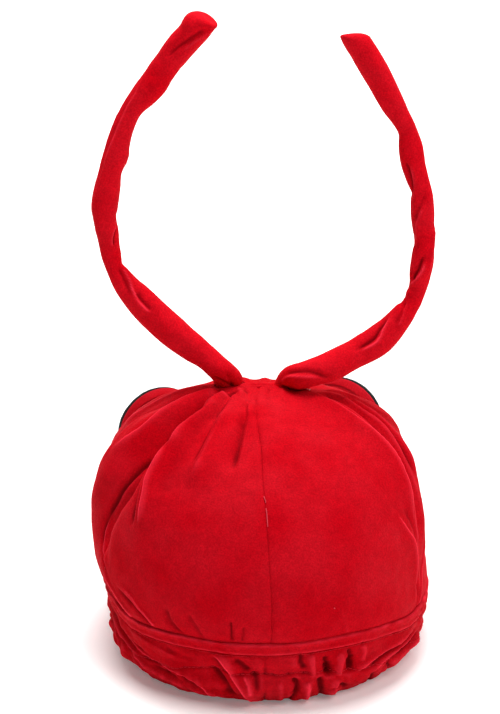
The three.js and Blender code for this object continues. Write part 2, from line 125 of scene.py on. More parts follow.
WELT_LIFT = make_table("azimuth lift", [
    [-180, 0.0], [-90, 0.0], [-62, 0.014], [-48, -0.002], [-20, 0.014], [0, 0.010],
    [25, 0.014], [42, 0.002], [58, -0.026], [90, -0.030], [150, 0.0], [180, 0.0],
])
SEAMS = make_table("along left centre right", [
    [0.00, -70.0, -8.0, 70.0],
    [0.07, -66.0, -7.0, 82.0],
    [0.17, -50.0, -3.0, 75.0],
    [0.26, -52.0, 0.0, 71.5],
    [0.35, -54.0, 0.5, 69.5],
    [0.44, -55.0, 1.5, 70.0],
    [0.52, -59.5, 2.0, 68.5],
    [0.60, -63.0, 2.5, 66.0],
    [0.70, -63.0, 3.0, 62.5],
    [1.00, -62.0, 3.0, 62.0],
])

# %% [markdown]
# ## The smooth form under the folds
# A sewn cap is not a ball: from above it is a rounded oblong, it is widest low down, and it runs up to
# a short ridge between the antennae. Each level of the table above gives a rounded oblong, and the
# wall's direction is found from neighbouring points, as the normal of a surface is.


# %% Points and directions on the form
def form_point(azimuth, along):
    """Points of the smooth form, in millimetres, for arrays of azimuth and along."""
    azimuth, along = np.broadcast_arrays(np.asarray(azimuth, float), np.asarray(along, float))
    row = read_table(FORM, along)
    sideways, backward = np.sin(np.radians(azimuth)), np.cos(np.radians(azimuth))
    half = np.maximum(0.5 * HAT_WIDTH * np.where(sideways < 0, row["left"], row["right"]), 1e-6)
    depth = np.where(backward > 0, row["back"] * BACK_DEPTH, row["front"] * FRONT_DEPTH)
    depth = np.maximum(depth, 1e-6)
    power = (np.abs(sideways) / half) ** PLAN_POWER + (np.abs(backward) / depth) ** PLAN_POWER
    radius = power ** (-1 / PLAN_POWER)
    beyond = np.sign(azimuth) * (180 - np.abs(azimuth)) / (180 - RIDGE_ANGLE)
    ridge = np.where(np.abs(azimuth) < RIDGE_ANGLE, azimuth / RIDGE_ANGLE, beyond)
    spread = np.minimum((row["left"] + row["right"]) / 2, 1)
    welt = smoothstep(along, 0.45, CROWN_HEM - 0.02) * (1 - smoothstep(along, BAND_TOP, 1))
    height = row["height"] + read_table(WELT_LIFT, azimuth)["lift"] * welt
    return np.stack([
        radius * sideways + 0.5 * RIDGE_LENGTH * ridge * (1 - spread),
        -radius * backward,
        HAT_HEIGHT * height,
    ], axis=-1)


def unit(vectors):
    return vectors / np.maximum(np.linalg.norm(vectors, axis=-1, keepdims=True), 1e-12)


def wall_direction(azimuth, along):
    """The direction in which the cloth's height is measured: upright at the ridge, level at the rim."""
    step = 0.01
    at = np.clip(along, 3 * step, 1 - step)
    down = form_point(azimuth, at + step) - form_point(azimuth, at - step)
    across = form_point(wrap(azimuth + 1), at) - form_point(wrap(azimuth - 1), at)
    square = unit(np.cross(down, across))
    ridge = (1 - smoothstep(along, 0, 0.1))[..., None]
    square = square * (1 - ridge) + np.array([0, 0, 1.0]) * ridge
    square[..., 2] *= 1 - smoothstep(along, 0.93, 1)
    return unit(square)


# %% [markdown]
# ## The main folds
# Cloth gathered into a seam leaves long folds that start at the gather and spread. Each row below is one
# fold: the seam that it follows, where it starts and ends along the cloth, its distance from that seam
# in degrees at four even steps, its height as a share of FOLD_DEPTH, and its width on either side.

# %% Main folds of the crown and the band
FOLDS = [
    ("left", 0.03, 0.72, -1, -1, -1, -1, -1.00, 6, 4),
    ("left", 0.05, 0.74, -12, -18, -17, -17, 0.55, 10, 7),
    ("left", 0.05, 0.58, 17, 5, 8, 18, 0.50, 4, 9),
    ("centre", 0.10, 0.50, -32, -38, -38.5, -38, -0.35, 5, 5),
    ("centre", 0.12, 0.40, -23, -30.5, -30.5, -29, 0.32, 4, 6),
    ("centre", 0.10, 0.42, -11.5, -17.5, -23, -26, 0.22, 4, 6),
    ("centre", 0.12, 0.34, -8, -10.5, -12, -12.5, -0.30, 4, 5),
    ("right", 0.06, 0.72, -3, -3, -3, -3, 0.28, 8, 4),
    ("right", 0.08, 0.72, 2.5, 3.5, 3, 4.5, -0.45, 3, 4),
    ("right", 0.08, 0.72, 13, 13, 10.5, 11.5, 0.30, 5, 5),
    ("right", 0.10, 0.50, 10, 26, 40, 47, 0.35, 7, 7),
    (None, 0.12, 0.50, 180, 180, 180, 180, -0.30, 14, 14),
]
BAND_FOLDS = [
    (None, 0.83, 0.99, -100, -62, -36, -12, 0.30, 7, 12),
    (None, 0.83, 0.99, -84, -48, -24, -2, -0.40, 8, 8),
    (None, 0.86, 0.99, -125, -92, -70, -52, 0.22, 8, 9),
]
BAND_SWELL = make_table("along body ruffle", [
    [0.815, 0.00, 0.00],
    [0.845, -0.25, 0.70],
    [0.885, -0.85, 0.55],
    [0.935, -0.30, 0.90],
    [1.000, -0.45, 0.70],
])


def fold_height(folds, azimuth, along):
    """Height of the main folds over the form, in millimetres."""
    height = np.zeros(np.broadcast(azimuth, along).shape)
    for seam, start, end, *line, high, less, more in folds:
        steps = make_table("step azimuth", list(enumerate(line)))
        at = read_table(steps, 3 * (along - start) / (end - start))["azimuth"]
        if seam:
            at = at + read_table(SEAMS, along)[seam]
        fade = 0.3 * (end - start)
        window = smoothstep(along, start, start + fade) * (1 - smoothstep(along, end - fade, end))
        away = azimuth - at
        away = away - 360 * np.round(away / 360)
        height += high * window * np.exp(-((away / np.where(away < 0, less, more)) ** 2))
    return height * FOLD_DEPTH


def ruffle_height(azimuth, along):
    """The band's ruffles: uneven in pitch, and calmer where the slanting folds lie."""
    angle = np.radians(azimuth)
    swell = read_table(BAND_SWELL, along)
    phase = RUFFLE_COUNT * angle + 1.6 * np.sin(3 * angle + 0.7) + 1.1 * np.sin(7 * angle + 2.1)
    calm = 1 - 0.65 * np.exp(-(((azimuth + 60) / 45) ** 2))
    uneven = 0.75 + 0.25 * np.sin(5 * angle + 1.3)
    ruffle = np.sin(phase + 3 * (along - BAND_TOP)) * calm * uneven
    return RUFFLE_DEPTH * (swell["body"] + swell["ruffle"] * ruffle)

# %% [markdown]
# ## Where the CAD frame lies
# The tables give the form round its own middle, while the CAD model stands on the middle of its box.
# The welt is a plain ring in both, so the difference between the two rings' boxes is the shift. It is
# measured here and not typed in, so the cloth stays in place if a size in the CAD changes.


# %% Measure the shift from form to frame
def cloth_length():
    steps = form_point(0.0, np.linspace(0, 1, 41))
    return np.linalg.norm(np.diff(steps, axis=0), axis=1).sum()


GAP_SHARE = SEAM_GAP / cloth_length()
ring_azimuth = np.linspace(-180, 180, 73)[None, :]
ring_along = np.array([[CROWN_HEM + 0.5 * GAP_SHARE], [BAND_TOP - 0.5 * GAP_SHARE]])
ring = form_point(ring_azimuth, ring_along)
ring_out = wall_direction(*np.broadcast_arrays(ring_azimuth, ring_along))
ring = np.concatenate([ring + ring_out * WELT_STAND, ring - ring_out * CLOTH_WALL])
SHIFT = np.array(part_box("band_welt")[0]) / MM - ring.reshape(-1, 3).min(0)
SHIFT[2] = 0
print("cloth from ridge to rim:", round(cloth_length(), 1), "mm; shift:", SHIFT.round(2), "mm")

# %% [markdown]
# ## Fine folds
# On the real hat the main folds end in sharp edges where the velvet laps over itself, with a dark hollow
# on one side. A bump map would not change the outline, so these are real geometry too. Each is a line
# drawn on the form through a few points (azimuth, along). Cloth near the line rises or sinks by the
# given height, with one width on the side of lower azimuth and one on the other: a narrow width makes a
# sharp edge, and a wide one a soft swelling. Distances are measured in millimetres on the form.


# %% Heights from lines drawn on the form
def smooth_path(points, count=32):
    """A smooth curve through points, as an array of evenly counted points."""
    given = np.array(points, float)
    p = np.vstack([2 * given[0] - given[1], given, 2 * given[-1] - given[-2]])
    t = np.linspace(0, len(given) - 1, count)
    i = np.minimum(t.astype(int), len(given) - 2)
    f = (t - i)[:, None]
    a, b, c, d = p[i], p[i + 1], p[i + 2], p[i + 3]
    return 0.5 * (2 * b + (c - a) * f + (2 * a - 5 * b + 4 * c - d) * f**2 + (3 * b - a - 3 * c + d) * f**3)


def line_height(lines, azimuth, along):
    """Sum of the heights of all lines at every place, in millimetres."""
    place = form_point(azimuth, along).reshape(-1, 3)
    out = wall_direction(azimuth, along).reshape(-1, 3)
    height = np.zeros(len(place))
    for high, less, more, *points in lines:
        path = smooth_path(points)
        # a fold that starts at the ridge or ends at a hem or the rim is at its full height there
        begin = 0.07 if points[0][1] < 0.13 else 0.22
        end = 0.95 if points[-1][1] > 0.985 or 0.77 < points[-1][1] < 0.80 else 0.78
        spine = form_point(wrap(path[:, 0]), path[:, 1])
        reach = 2.5 * max(less, more)
        near = np.all((place > spine.min(0) - reach) & (place < spine.max(0) + reach), axis=1)
        near = np.flatnonzero(near)
        if not len(near):
            continue
        start, run = spine[:-1], np.diff(spine, axis=0)
        to = place[near][:, None] - start
        t = np.clip((to * run).sum(-1) / np.maximum((run**2).sum(-1), 1e-9), 0, 1)
        gap = to - t[..., None] * run
        square = (gap**2).sum(-1)
        best = square.argmin(1)
        rows = np.arange(len(near))
        side = (np.cross(run[best], gap[rows, best]) * out[near]).sum(-1)
        width = np.where(side < 0, less, more)
        where = (best + t[rows, best]) / len(run)
        window = smoothstep(where, 0, begin) * (1 - smoothstep(where, end, 1))
        height[near] += high * window * np.exp(-square[rows, best] / width**2)
    return height.reshape(np.shape(azimuth))


def waves(points, size, seed, count=14):
    """Smooth unevenness of about the given size in millimetres, from -1 to 1, the same each run."""
    rng = np.random.default_rng(seed)
    heading = unit(rng.normal(size=(count, 3))) * (2 * np.pi / size) * rng.uniform(0.6, 1.4, (count, 1))
    phase = rng.uniform(0, 2 * np.pi, count)
    total = np.zeros(points.shape[:-1])
    for k in range(count):
        total += np.sin(points @ heading[k] + phase[k])
    return total / np.sqrt(2 * count)


# %% Fine folds of the crown: height, width on the lower side, width on the upper side, points
CROWN_LINES = [
    # edges and hollows of the back's left half, which spread from the antenna
    (1.6, 1.3, 3.5, (-110, 0.060), (-105, 0.110), (-100, 0.165), (-97, 0.210), (-95, 0.262), (-96, 0.330),
     (-102, 0.420)),
    (-1.6, 2.6, 2.0, (-94, 0.070), (-89, 0.130), (-85, 0.190), (-84, 0.250), (-87, 0.330), (-92, 0.430)),
    (2.6, 1.3, 6.0, (-82, 0.052), (-74, 0.110), (-69, 0.165), (-66.5, 0.222), (-66.5, 0.285), (-69, 0.340),
     (-73, 0.400)),
    (-3.0, 3.0, 1.5, (-67, 0.038), (-61, 0.088), (-59, 0.120), (-56, 0.160), (-54, 0.200), (-51.5, 0.250),
     (-52, 0.290), (-54, 0.330)),
    (-2.1, 1.8, 1.2, (-53, 0.290), (-56, 0.330), (-58, 0.365), (-59, 0.400), (-60, 0.440), (-62.5, 0.484),
     (-65, 0.522), (-67.5, 0.560), (-69, 0.610)),
    (3.4, 1.1, 7.0, (-56, 0.050), (-52, 0.100), (-51, 0.150), (-49, 0.190), (-46.5, 0.236), (-45.5, 0.270),
     (-45.5, 0.310)),
    (2.8, 1.1, 5.5, (-46, 0.270), (-46, 0.325), (-45.5, 0.370), (-45, 0.402), (-43.5, 0.440), (-43, 0.484),
     (-43.5, 0.530)),
    (-2.4, 3.6, 1.3, (-49, 0.310), (-48.5, 0.370), (-48, 0.410), (-47, 0.450), (-46.5, 0.500), (-47, 0.540)),
    (1.5, 1.7, 4.0, (-51, 0.345), (-54, 0.375), (-57, 0.410), (-59, 0.455), (-61.5, 0.503), (-64, 0.544),
     (-66, 0.600)),
    (0.9, 5.0, 5.0, (-45, 0.110), (-42, 0.190), (-41, 0.230), (-40, 0.274), (-39, 0.330)),
    (2.3, 2.2, 6.0, (-46, 0.024), (-37, 0.072), (-31, 0.124), (-28, 0.176), (-27, 0.210), (-27, 0.250),
     (-27, 0.300), (-28, 0.350), (-29, 0.400)),
    (-2.9, 4.0, 1.7, (-50, 0.024), (-43, 0.062), (-37, 0.124), (-33, 0.190), (-31.5, 0.240), (-31, 0.300),
     (-31.5, 0.350)),
    (-1.1, 2.6, 1.2, (-18, 0.080), (-14, 0.144), (-13, 0.184), (-12.5, 0.232), (-12.5, 0.290), (-13, 0.350)),
    (1.3, 1.1, 3.5, (-15, 0.080), (-10.5, 0.144), (-10, 0.182), (-10, 0.226), (-10, 0.290), (-10.5, 0.350)),
    (0.6, 6.0, 8.0, (-38, 0.400), (-33, 0.470), (-30, 0.560)),
    (-0.7, 7.0, 7.0, (-36, 0.420), (-35, 0.500), (-37, 0.600)),
    # small gathers under the antennae's feet
    (0.7, 1.5, 2.2, (-60, 0.012), (-38, 0.040), (-25, 0.085), (-20, 0.130)),
    (-0.6, 1.6, 1.6, (-48, 0.010), (-28, 0.036), (-17, 0.075), (-14, 0.110)),
    (0.5, 1.5, 2.2, (-20, 0.008), (-9, 0.034), (-6, 0.070)),
    (-0.8, 1.2, 1.2, (24, 0.008), (12, 0.040), (9, 0.080)),
    (0.8, 1.4, 2.0, (60, 0.012), (36, 0.050), (28, 0.100)),
    # the puffed roll outside the deep crease
    (1.0, 6.0, 3.0, (-84, 0.200), (-80, 0.280), (-76, 0.350), (-76, 0.420), (-78, 0.500)),
    (-0.8, 4.0, 4.0, (-88, 0.250), (-86, 0.340), (-86, 0.430), (-88, 0.520)),
    (-2.8, 15.0, 15.0, (-96, 0.300), (-94, 0.400), (-92, 0.500), (-91, 0.580), (-90, 0.640)),
    (-1.5, 1.8, 1.1, (-68, 0.560), (-69, 0.606), (-68.5, 0.640), (-66, 0.670), (-62, 0.700), (-57, 0.716)),
    (1.2, 1.0, 3.0, (-66, 0.560), (-67, 0.606), (-66, 0.640), (-63, 0.672), (-59, 0.700)),
    (1.4, 1.2, 2.0, (-64, 0.712), (-58, 0.736), (-54, 0.748), (-50, 0.764), (-46, 0.780)),
    # the right edge and the pleats beyond it
    (2.0, 7.0, 1.0, (80, 0.050), (72, 0.085), (67, 0.146), (65, 0.214), (65, 0.286), (66, 0.360), (65, 0.422),
     (64.5, 0.480), (62.5, 0.530), (61, 0.585)),
    (1.4, 6.0, 1.0, (52, 0.500), (54.5, 0.535), (57, 0.570), (59.5, 0.600), (61, 0.640), (62, 0.680),
     (61, 0.725), (58, 0.765)),
    (-2.8, 1.4, 1.8, (80, 0.090), (77, 0.150), (71, 0.232), (69, 0.296), (69, 0.364), (68, 0.420),
     (68, 0.472), (67, 0.514), (66, 0.564), (65, 0.620), (65, 0.680), (62, 0.740)),
    (-0.9, 2.0, 2.0, (57, 0.505), (60, 0.550), (62, 0.600), (63.5, 0.650)),
    (1.6, 1.6, 1.6, (88, 0.100), (84, 0.164), (81, 0.232), (80, 0.290), (78, 0.346), (77, 0.388), (76, 0.430),
     (76, 0.480), (76, 0.530), (75, 0.600)),
    (1.1, 1.3, 2.0, (79, 0.620), (74, 0.680), (69, 0.720), (65.5, 0.752), (64, 0.780)),
    (-1.8, 1.6, 1.6, (88, 0.160), (84, 0.226), (82.5, 0.290), (81, 0.340), (79.5, 0.400), (79, 0.452),
     (79, 0.520)),
    (1.2, 1.6, 2.6, (90, 0.200), (86, 0.262), (84.5, 0.320), (83, 0.378), (81.5, 0.430), (81, 0.500)),
    (1.0, 1.6, 2.5, (94, 0.120), (92, 0.200), (96, 0.280), (104, 0.370), (108, 0.460)),
    (0.8, 9.0, 9.0, (30, 0.180), (36, 0.300), (38, 0.420)),
    # gathers above the welt
    (1.0, 3.2, 1.3, (-53, 0.700), (-46, 0.712), (-43, 0.724), (-41, 0.740), (-38, 0.756), (-35, 0.780)),
    (-1.9, 2.4, 1.6, (-55, 0.716), (-49, 0.728), (-45, 0.740), (-42, 0.754), (-39, 0.770), (-37, 0.788)),
    (-1.4, 2.8, 2.0, (-30, 0.705), (-29, 0.748), (-27, 0.770), (-24, 0.790)),
    (-1.1, 2.6, 2.0, (-23, 0.715), (-20, 0.756), (-18, 0.785)),
    (-1.5, 1.0, 1.0, (-9.2, 0.724), (-9, 0.750), (-8.8, 0.790)),
    (-1.0, 1.2, 1.2, (-5, 0.735), (-5.6, 0.760), (-6, 0.790)),
    (0.7, 2.0, 2.0, (23, 0.700), (25, 0.735), (27, 0.780)),
    # gathers at the ridge, on the far side
    *((high, 3.0, 3.0, (first, 0.020), (middle, at), (last, end)) for high, first, middle, last, at, end in (
        (1.2, -128, -135, -140, 0.100, 0.220), (1.3, -158, -160, -162, 0.100, 0.240),
        (1.4, 172, 174, 176, 0.090, 0.220), (1.2, 148, 150, 152, 0.100, 0.240),
        (1.1, 124, 128, 131, 0.100, 0.220),
    )),
]
# gathers round the hem's far side, and long soft ones down the front, drawn by a fixed rule
hem_rng = np.random.default_rng(7)
for at in np.arange(80, 284, 8.0):
    spot = at + hem_rng.uniform(-3, 3)
    top, deep, lean = hem_rng.uniform(0.70, 0.745), hem_rng.uniform(0.3, 0.9), hem_rng.uniform(-2, 2)
    CROWN_LINES.append((-deep, 1.5, 1.8, (spot + lean, top), (spot, 0.5 * top + 0.4), (spot, 0.8)))
for at in (-150, -132, 118, 136, 160):
    CROWN_LINES.append((0.9, 7.0, 9.0, (at, 0.25), (at + 3, 0.45), (at - 2, 0.68)))
print("fine folds of the crown:", len(CROWN_LINES))

# %% [markdown]
# ## From heights to a wall of cloth
# A sheet of cloth with real thickness is a closed mesh: an outer face, an inner face that follows it,
# and the edges that join them. It is built as a grid, so its cells stay about a millimetre and a half
# wide. The grid also keeps three masks for the velvet: "crest", where the cloth stands above what is
# round it, "pocket", where it lies below, and "edge", where it is bent sharply outward, as on the lip of
# a fold. The velvet paints a highlight of lighter pink into its colour on a crest or an edge, and
# painted shade of deeper red into a pocket.


# %% Build a wall of cloth as a mesh
def blur(field, reach, closed):
    """A soft average over a grid, reach cells each way."""
    kernel = np.exp(-(np.linspace(-2, 2, 4 * reach + 1) ** 2))
    kernel /= kernel.sum()
    pad = 2 * reach
    field = np.pad(field, ((pad, pad), (0, 0)), mode="edge")
    field = np.pad(field, ((0, 0), (pad, pad)), mode="wrap" if closed else "edge")
    field = np.apply_along_axis(np.convolve, 0, field, kernel, "valid")
    return np.apply_along_axis(np.convolve, 1, field, kernel, "valid")


def painted_light_masks(broad, narrow):
    """Crest, pocket and edge masks, from how far the cloth stands above its near and nearest parts; the velvet paints
    a highlight with crest and edge and shade with pocket.
    """
    return {
        "crest": smoothstep(broad, 0.2, 1.4),
        "pocket": smoothstep(-broad, 0.1, 1.3),
        "edge": smoothstep(narrow, 0.04, 0.24),
    }


def new_piece(name, points, faces, material, marks=None):
    """An object with its place in its mesh, points in millimetres of the form's own frame."""
    mesh = bpy.data.meshes.new(name)
    faces = faces if isinstance(faces, list) else faces.tolist()
    mesh.from_pydata(((points + SHIFT) * MM).tolist(), [], faces)
    mesh.validate()
    for mark, values in (marks or {}).items():
        field = mesh.attributes.new(mark, "FLOAT", "POINT")
        field.data.foreach_set("value", np.ravel(values).astype(np.float32))
    mesh.polygons.foreach_set("use_smooth", [True] * len(mesh.polygons))
    mesh.materials.append(material)
    piece = bpy.data.objects.new(name, mesh)
    bpy.context.collection.objects.link(piece)
    return piece


def grid_faces(rows, across, closed, first=0, flip=False):
    """Quads between the points of a grid; flipped ones face the other way."""
    columns = across if closed else across - 1
    i, j = np.meshgrid(np.arange(rows), np.arange(columns), indexing="ij")
    a, b = first + i * across + j, first + i * across + (j + 1) % across
    quads = np.stack([a, a + across, b + across, b], axis=-1).reshape(-1, 4)
    return quads[:, ::-1] if flip else quads


def line_edges(lines, azimuth, along, closed=False):
    """Where the crests of the sharp ones among the lines get a painted highlight, from 0 to 1."""
    sharp = [line for line in lines if line[0] > 0 and min(line[1:3]) <= 1.3]
    crests = line_height(sharp, azimuth, along)
    return smoothstep(crests - blur(crests, 1, closed), 0.04, 0.24)


def cloth_wall(name, material, azimuth, along, outer, wall, closed=False, edge=None):
    """A closed wall of cloth over a grid of places, with its outer face at the given heights.

    The "edge" mask of painted highlight may be given; without it, it follows the sharpest heights.
    """
    turned = wrap(azimuth)
    base, out = form_point(turned, along), wall_direction(turned, along)
    faces_at = [base + out * outer[..., None], base + out * (outer - wall)[..., None]]
    rows, across = along.shape[0] - 1, along.shape[1]
    layer = (rows + 1) * across
    faces = [grid_faces(rows, across, closed), grid_faces(rows, across, closed, layer, True)]
    top = np.arange(across if closed else across - 1)
    after = (top + 1) % across
    faces.append(np.stack([top, after, layer + after, layer + top], axis=-1))
    last = rows * across
    faces.append(np.stack([last + top, layer + last + top, layer + last + after, last + after], axis=-1))
    if not closed:
        left = np.arange(rows) * across
        faces.append(np.stack([left, layer + left, layer + left + across, left + across], axis=-1))
        right = left + across - 1
        faces.append(np.stack([right, right + across, layer + right + across, layer + right], axis=-1))
    # masks for the velvet's painted highlight on crests and edges and painted shade in pockets
    marks = painted_light_masks(outer - blur(outer, 5, closed), outer - blur(outer, 1, closed))
    if edge is not None:
        marks["edge"] = edge
    marks = {mark: np.concatenate([values.ravel()] * 2) for mark, values in marks.items()}
    points = np.concatenate([f.reshape(-1, 3) for f in faces_at])
    piece = new_piece(name, points, np.concatenate(faces), material, marks)
    outside = faces_at[0]
    down, across_run = np.diff(outside, axis=0)[:, :-1], np.diff(outside, axis=1)[:-1]
    area = np.linalg.norm(np.cross(down, across_run), axis=-1).sum() * MM**2
    print(name, "has", len(piece.data.polygons), "faces and", round(area, 4), "square metres of cloth")
    return piece

# %% [markdown]
# ## Velvet as a material
# Velvet is a short, upright pile. Seen straight on it is deep and saturated, and at a slant, or where it
# opens over a fold, it turns lighter and a little pink. A plain red would miss all of that. One node group
# makes what every velvet piece shares: broad patches where the pile lies another way, finer mottling, the
# grain of the pile itself, and light and shade painted into the colour from the mesh's masks: a painted
# highlight of lighter pink on crests and the lips of folds, and painted shade of deeper red in pockets.
# It reads Object coordinates, so the pattern stays put. The sheen is the same all over, so it is set on
# the shader itself. The real hat is most likely of one red velvet. Here each kind of piece has its own
# copy of it with light or shade painted in, the sleeves lighter and the band and the eyes' backs darker,
# the eyes' backs the darkest, tuned to the photograph under these lamps.


# %% A node group for the look of pile, with painted highlight and shade
def add_node(tree, kind, where, **values):
    """A node with its settings, and its inputs given by name or number."""
    node = tree.nodes.new(kind)
    node.location = where
    for key, value in values.pop("put", {}).items():
        node.inputs[key].default_value = value
    for key, value in values.items():
        setattr(node, key, value)
    return node


def make_group(name, inputs, outputs):
    group = bpy.data.node_groups.new(name, "ShaderNodeTree")
    for label, kind, value in inputs:
        socket = group.interface.new_socket(label, in_out="INPUT", socket_type="NodeSocket" + kind)
        if value is not None:
            socket.default_value = value
    for label, kind in outputs:
        group.interface.new_socket(label, in_out="OUTPUT", socket_type="NodeSocket" + kind)
    return group, group.nodes.new("NodeGroupInput"), group.nodes.new("NodeGroupOutput")


def mix_colour(tree, factor, first, second, where, blend="MIX"):
    """A colour mix whose three inputs may each be a socket or a value; gives the result's socket."""
    node = add_node(tree, "ShaderNodeMix", where, data_type="RGBA", blend_type=blend)
    for socket, value in ((node.inputs[0], factor), (node.inputs[6], first), (node.inputs[7], second)):
        if hasattr(value, "links"):
            tree.links.new(value, socket)
        else:
            socket.default_value = value
    return node.outputs[2]


def spread(tree, socket, low, high, to_low, to_high, where):
    """Map Range: stretches one span of values to another."""
    node = add_node(tree, "ShaderNodeMapRange", where, put={1: low, 2: high, 3: to_low, 4: to_high})
    tree.links.new(socket, node.inputs[0])
    return node.outputs[0]


def noise(tree, vector, scale, detail, where):
    node = add_node(tree, "ShaderNodeTexNoise", where, put={"Scale": scale, "Detail": detail})
    tree.links.new(vector, node.inputs["Vector"])
    return node.outputs["Fac"]


pile, pile_in, pile_out = make_group(
    "velvet_pile_and_painted_light",
    [("Vector", "Vector", None), ("Crest", "Float", 0.0), ("Pocket", "Float", 0.0), ("Edge", "Float", 0.0),
     ("Colour", "Color", (0.5, 0.0, 0.01, 1)), ("Light", "Color", (1, 0.05, 0.1, 1)),
     ("Deep", "Color", (0.15, 0, 0, 1)), ("Patches", "Float", 0.5), ("Grain", "Float", 0.5)],
    [("Colour", "Color"), ("Roughness", "Float"), ("Height", "Float")],
)
vector = pile_in.outputs["Vector"]
patches = spread(pile, noise(pile, vector, 32, 3, (0, 300)), 0.35, 0.65, 0, 1, (200, 300))
mottle = spread(pile, noise(pile, vector, 190, 3, (0, 100)), 0.3, 0.7, 0, 1, (200, 100))
grain = noise(pile, vector, 1000, 3, (0, -100))
lift = add_node(pile, "ShaderNodeMath", (400, 300), operation="MULTIPLY")
pile.links.new(patches, lift.inputs[0])
pile.links.new(pile_in.outputs["Patches"], lift.inputs[1])
toned = mix_colour(pile, lift.outputs[0], pile_in.outputs["Colour"], pile_in.outputs["Light"], (600, 300))
speck = spread(pile, grain, 0.35, 0.65, 1, 0, (200, -100))
dark = add_node(pile, "ShaderNodeMath", (400, 0), operation="MULTIPLY")
pile.links.new(speck, dark.inputs[0])
pile.links.new(pile_in.outputs["Grain"], dark.inputs[1])
toned = mix_colour(pile, dark.outputs[0], toned, pile_in.outputs["Deep"], (800, 300))
cloudy = spread(pile, mottle, 0, 1, 0, 0.16, (600, 100))
toned = mix_colour(pile, cloudy, toned, pile_in.outputs["Deep"], (1000, 300))
# painted highlight: the Light colour on crests and fold edges; painted shade: the Deep colour in pockets
for at, (mask, most, tone) in enumerate((("Crest", 0.34, "Light"), ("Pocket", 0.85, "Deep"), ("Edge", 0.85, "Light"))):
    share = spread(pile, pile_in.outputs[mask], 0, 1, 0, most, (1000 + 200 * at, 500))
    toned = mix_colour(pile, share, toned, pile_in.outputs[tone], (1200 + 200 * at, 300))
pile.links.new(toned, pile_out.inputs["Colour"])
pile.links.new(spread(pile, patches, 0, 1, 0.92, 0.74, (1400, 0)), pile_out.inputs["Roughness"])
fine = add_node(pile, "ShaderNodeMath", (600, -200), operation="MULTIPLY_ADD", put={1: 0.5})
pile.links.new(mottle, fine.inputs[0])
pile.links.new(grain, fine.inputs[2])
pile.links.new(fine.outputs[0], pile_out.inputs["Height"])
print("velvet pile group:", len(pile.nodes), "nodes")


# %% Velvet, its thread and the eyes' black cloth
def srgb(red, green, blue):
    """A colour given in 0 to 255 as seen on a screen, turned to the linear values that a shader takes."""
    part = np.array([red, green, blue]) / 255
    linear = np.where(part <= 0.04045, part / 12.92, ((part + 0.055) / 1.055) ** 2.4)
    return (*linear.tolist(), 1.0)


def new_material(name):
    material = bpy.data.materials.new(name)
    material.use_nodes = True
    tree = material.node_tree
    shader = tree.nodes["Principled BSDF"]
    where = add_node(tree, "ShaderNodeTexCoord", (-900, 0))
    return material, tree, shader, where.outputs["Object"]


def velvet(name, colour, light, deep, patches, grain, sheen, bump):
    material, tree, shader, place = new_material(name)
    look = add_node(tree, "ShaderNodeGroup", (-500, 0), node_tree=pile)
    tree.links.new(place, look.inputs["Vector"])
    # the mesh's masks for the painted highlight and the painted shade
    for row, mask in enumerate(("crest", "pocket", "edge")):
        read = add_node(tree, "ShaderNodeAttribute", (-900, -250 - 180 * row), attribute_name=mask)
        tree.links.new(read.outputs["Fac"], look.inputs[mask.capitalize()])
    values = {"Colour": colour, "Light": light, "Deep": deep, "Patches": patches, "Grain": grain}
    for label, value in values.items():
        look.inputs[label].default_value = value
    tree.links.new(look.outputs["Colour"], shader.inputs["Base Color"])
    tree.links.new(look.outputs["Roughness"], shader.inputs["Roughness"])
    raised = add_node(tree, "ShaderNodeBump", (-200, -300), put={"Strength": bump, "Distance": 0.0006})
    tree.links.new(look.outputs["Height"], raised.inputs["Height"])
    tree.links.new(raised.outputs["Normal"], shader.inputs["Normal"])
    shader.inputs["Specular IOR Level"].default_value = 0.03
    shader.inputs["Sheen Weight"].default_value = sheen
    shader.inputs["Sheen Roughness"].default_value = 0.30
    shader.inputs["Sheen Tint"].default_value = srgb(255, 44, 64)
    return material


# One red velvet in four lit and shaded copies: the sleeves' copy is lighter, painted light, and the band's and,
# darkest, the eyes' backs' copies are darker, painted shade. LIGHT_RED is also the painted highlight on crests and
# fold edges, DEEP_RED also the painted shade in pockets.
RED, LIGHT_RED, DEEP_RED = srgb(201, 3, 20), srgb(255, 50, 72), srgb(96, 0, 6)
crown_velvet = velvet("crown_velvet", RED, LIGHT_RED, DEEP_RED, 0.11, 0.30, 0.36, 0.5)
band_velvet_painted_shade = velvet("band_velvet_painted_shade", srgb(196, 2, 18), LIGHT_RED, DEEP_RED, 0.09, 0.30, 0.32, 0.5)
sleeve_velvet_painted_light = velvet("sleeve_velvet_painted_light", srgb(222, 3, 22), LIGHT_RED, DEEP_RED, 0.12, 0.28, 0.34, 0.5)
eye_velvet_painted_shade = velvet("eye_velvet_painted_shade", srgb(170, 2, 15), LIGHT_RED, DEEP_RED, 0.10, 0.30, 0.28, 0.5)


def plain_thread(name, colour, sheen):
    """Thread: fine twist drawn by a wave along the cloth's own coordinates."""
    material, tree, shader, place = new_material(name)
    twist = add_node(tree, "ShaderNodeTexWave", (-600, 0), put={"Scale": 900.0, "Distortion": 1.5})
    twist.bands_direction = "DIAGONAL"
    tree.links.new(place, twist.inputs["Vector"])
    shade = tuple(0.6 * c for c in colour[:3]) + (1.0,)
    tree.links.new(mix_colour(tree, twist.outputs["Fac"], shade, colour, (-300, 0)), shader.inputs["Base Color"])
    rough = spread(tree, twist.outputs["Fac"], 0, 1, 0.75, 0.5, (-300, -250))
    tree.links.new(rough, shader.inputs["Roughness"])
    shader.inputs["Sheen Weight"].default_value = sheen
    shader.inputs["Sheen Tint"].default_value = colour
    shader.inputs["Specular IOR Level"].default_value = 0.1
    return material


red_thread = plain_thread("red_thread", srgb(226, 30, 48), 0.1)
pale_thread = plain_thread("pale_thread", srgb(232, 74, 88), 0.1)
white_thread = plain_thread("white_thread", srgb(250, 236, 226), 0.1)

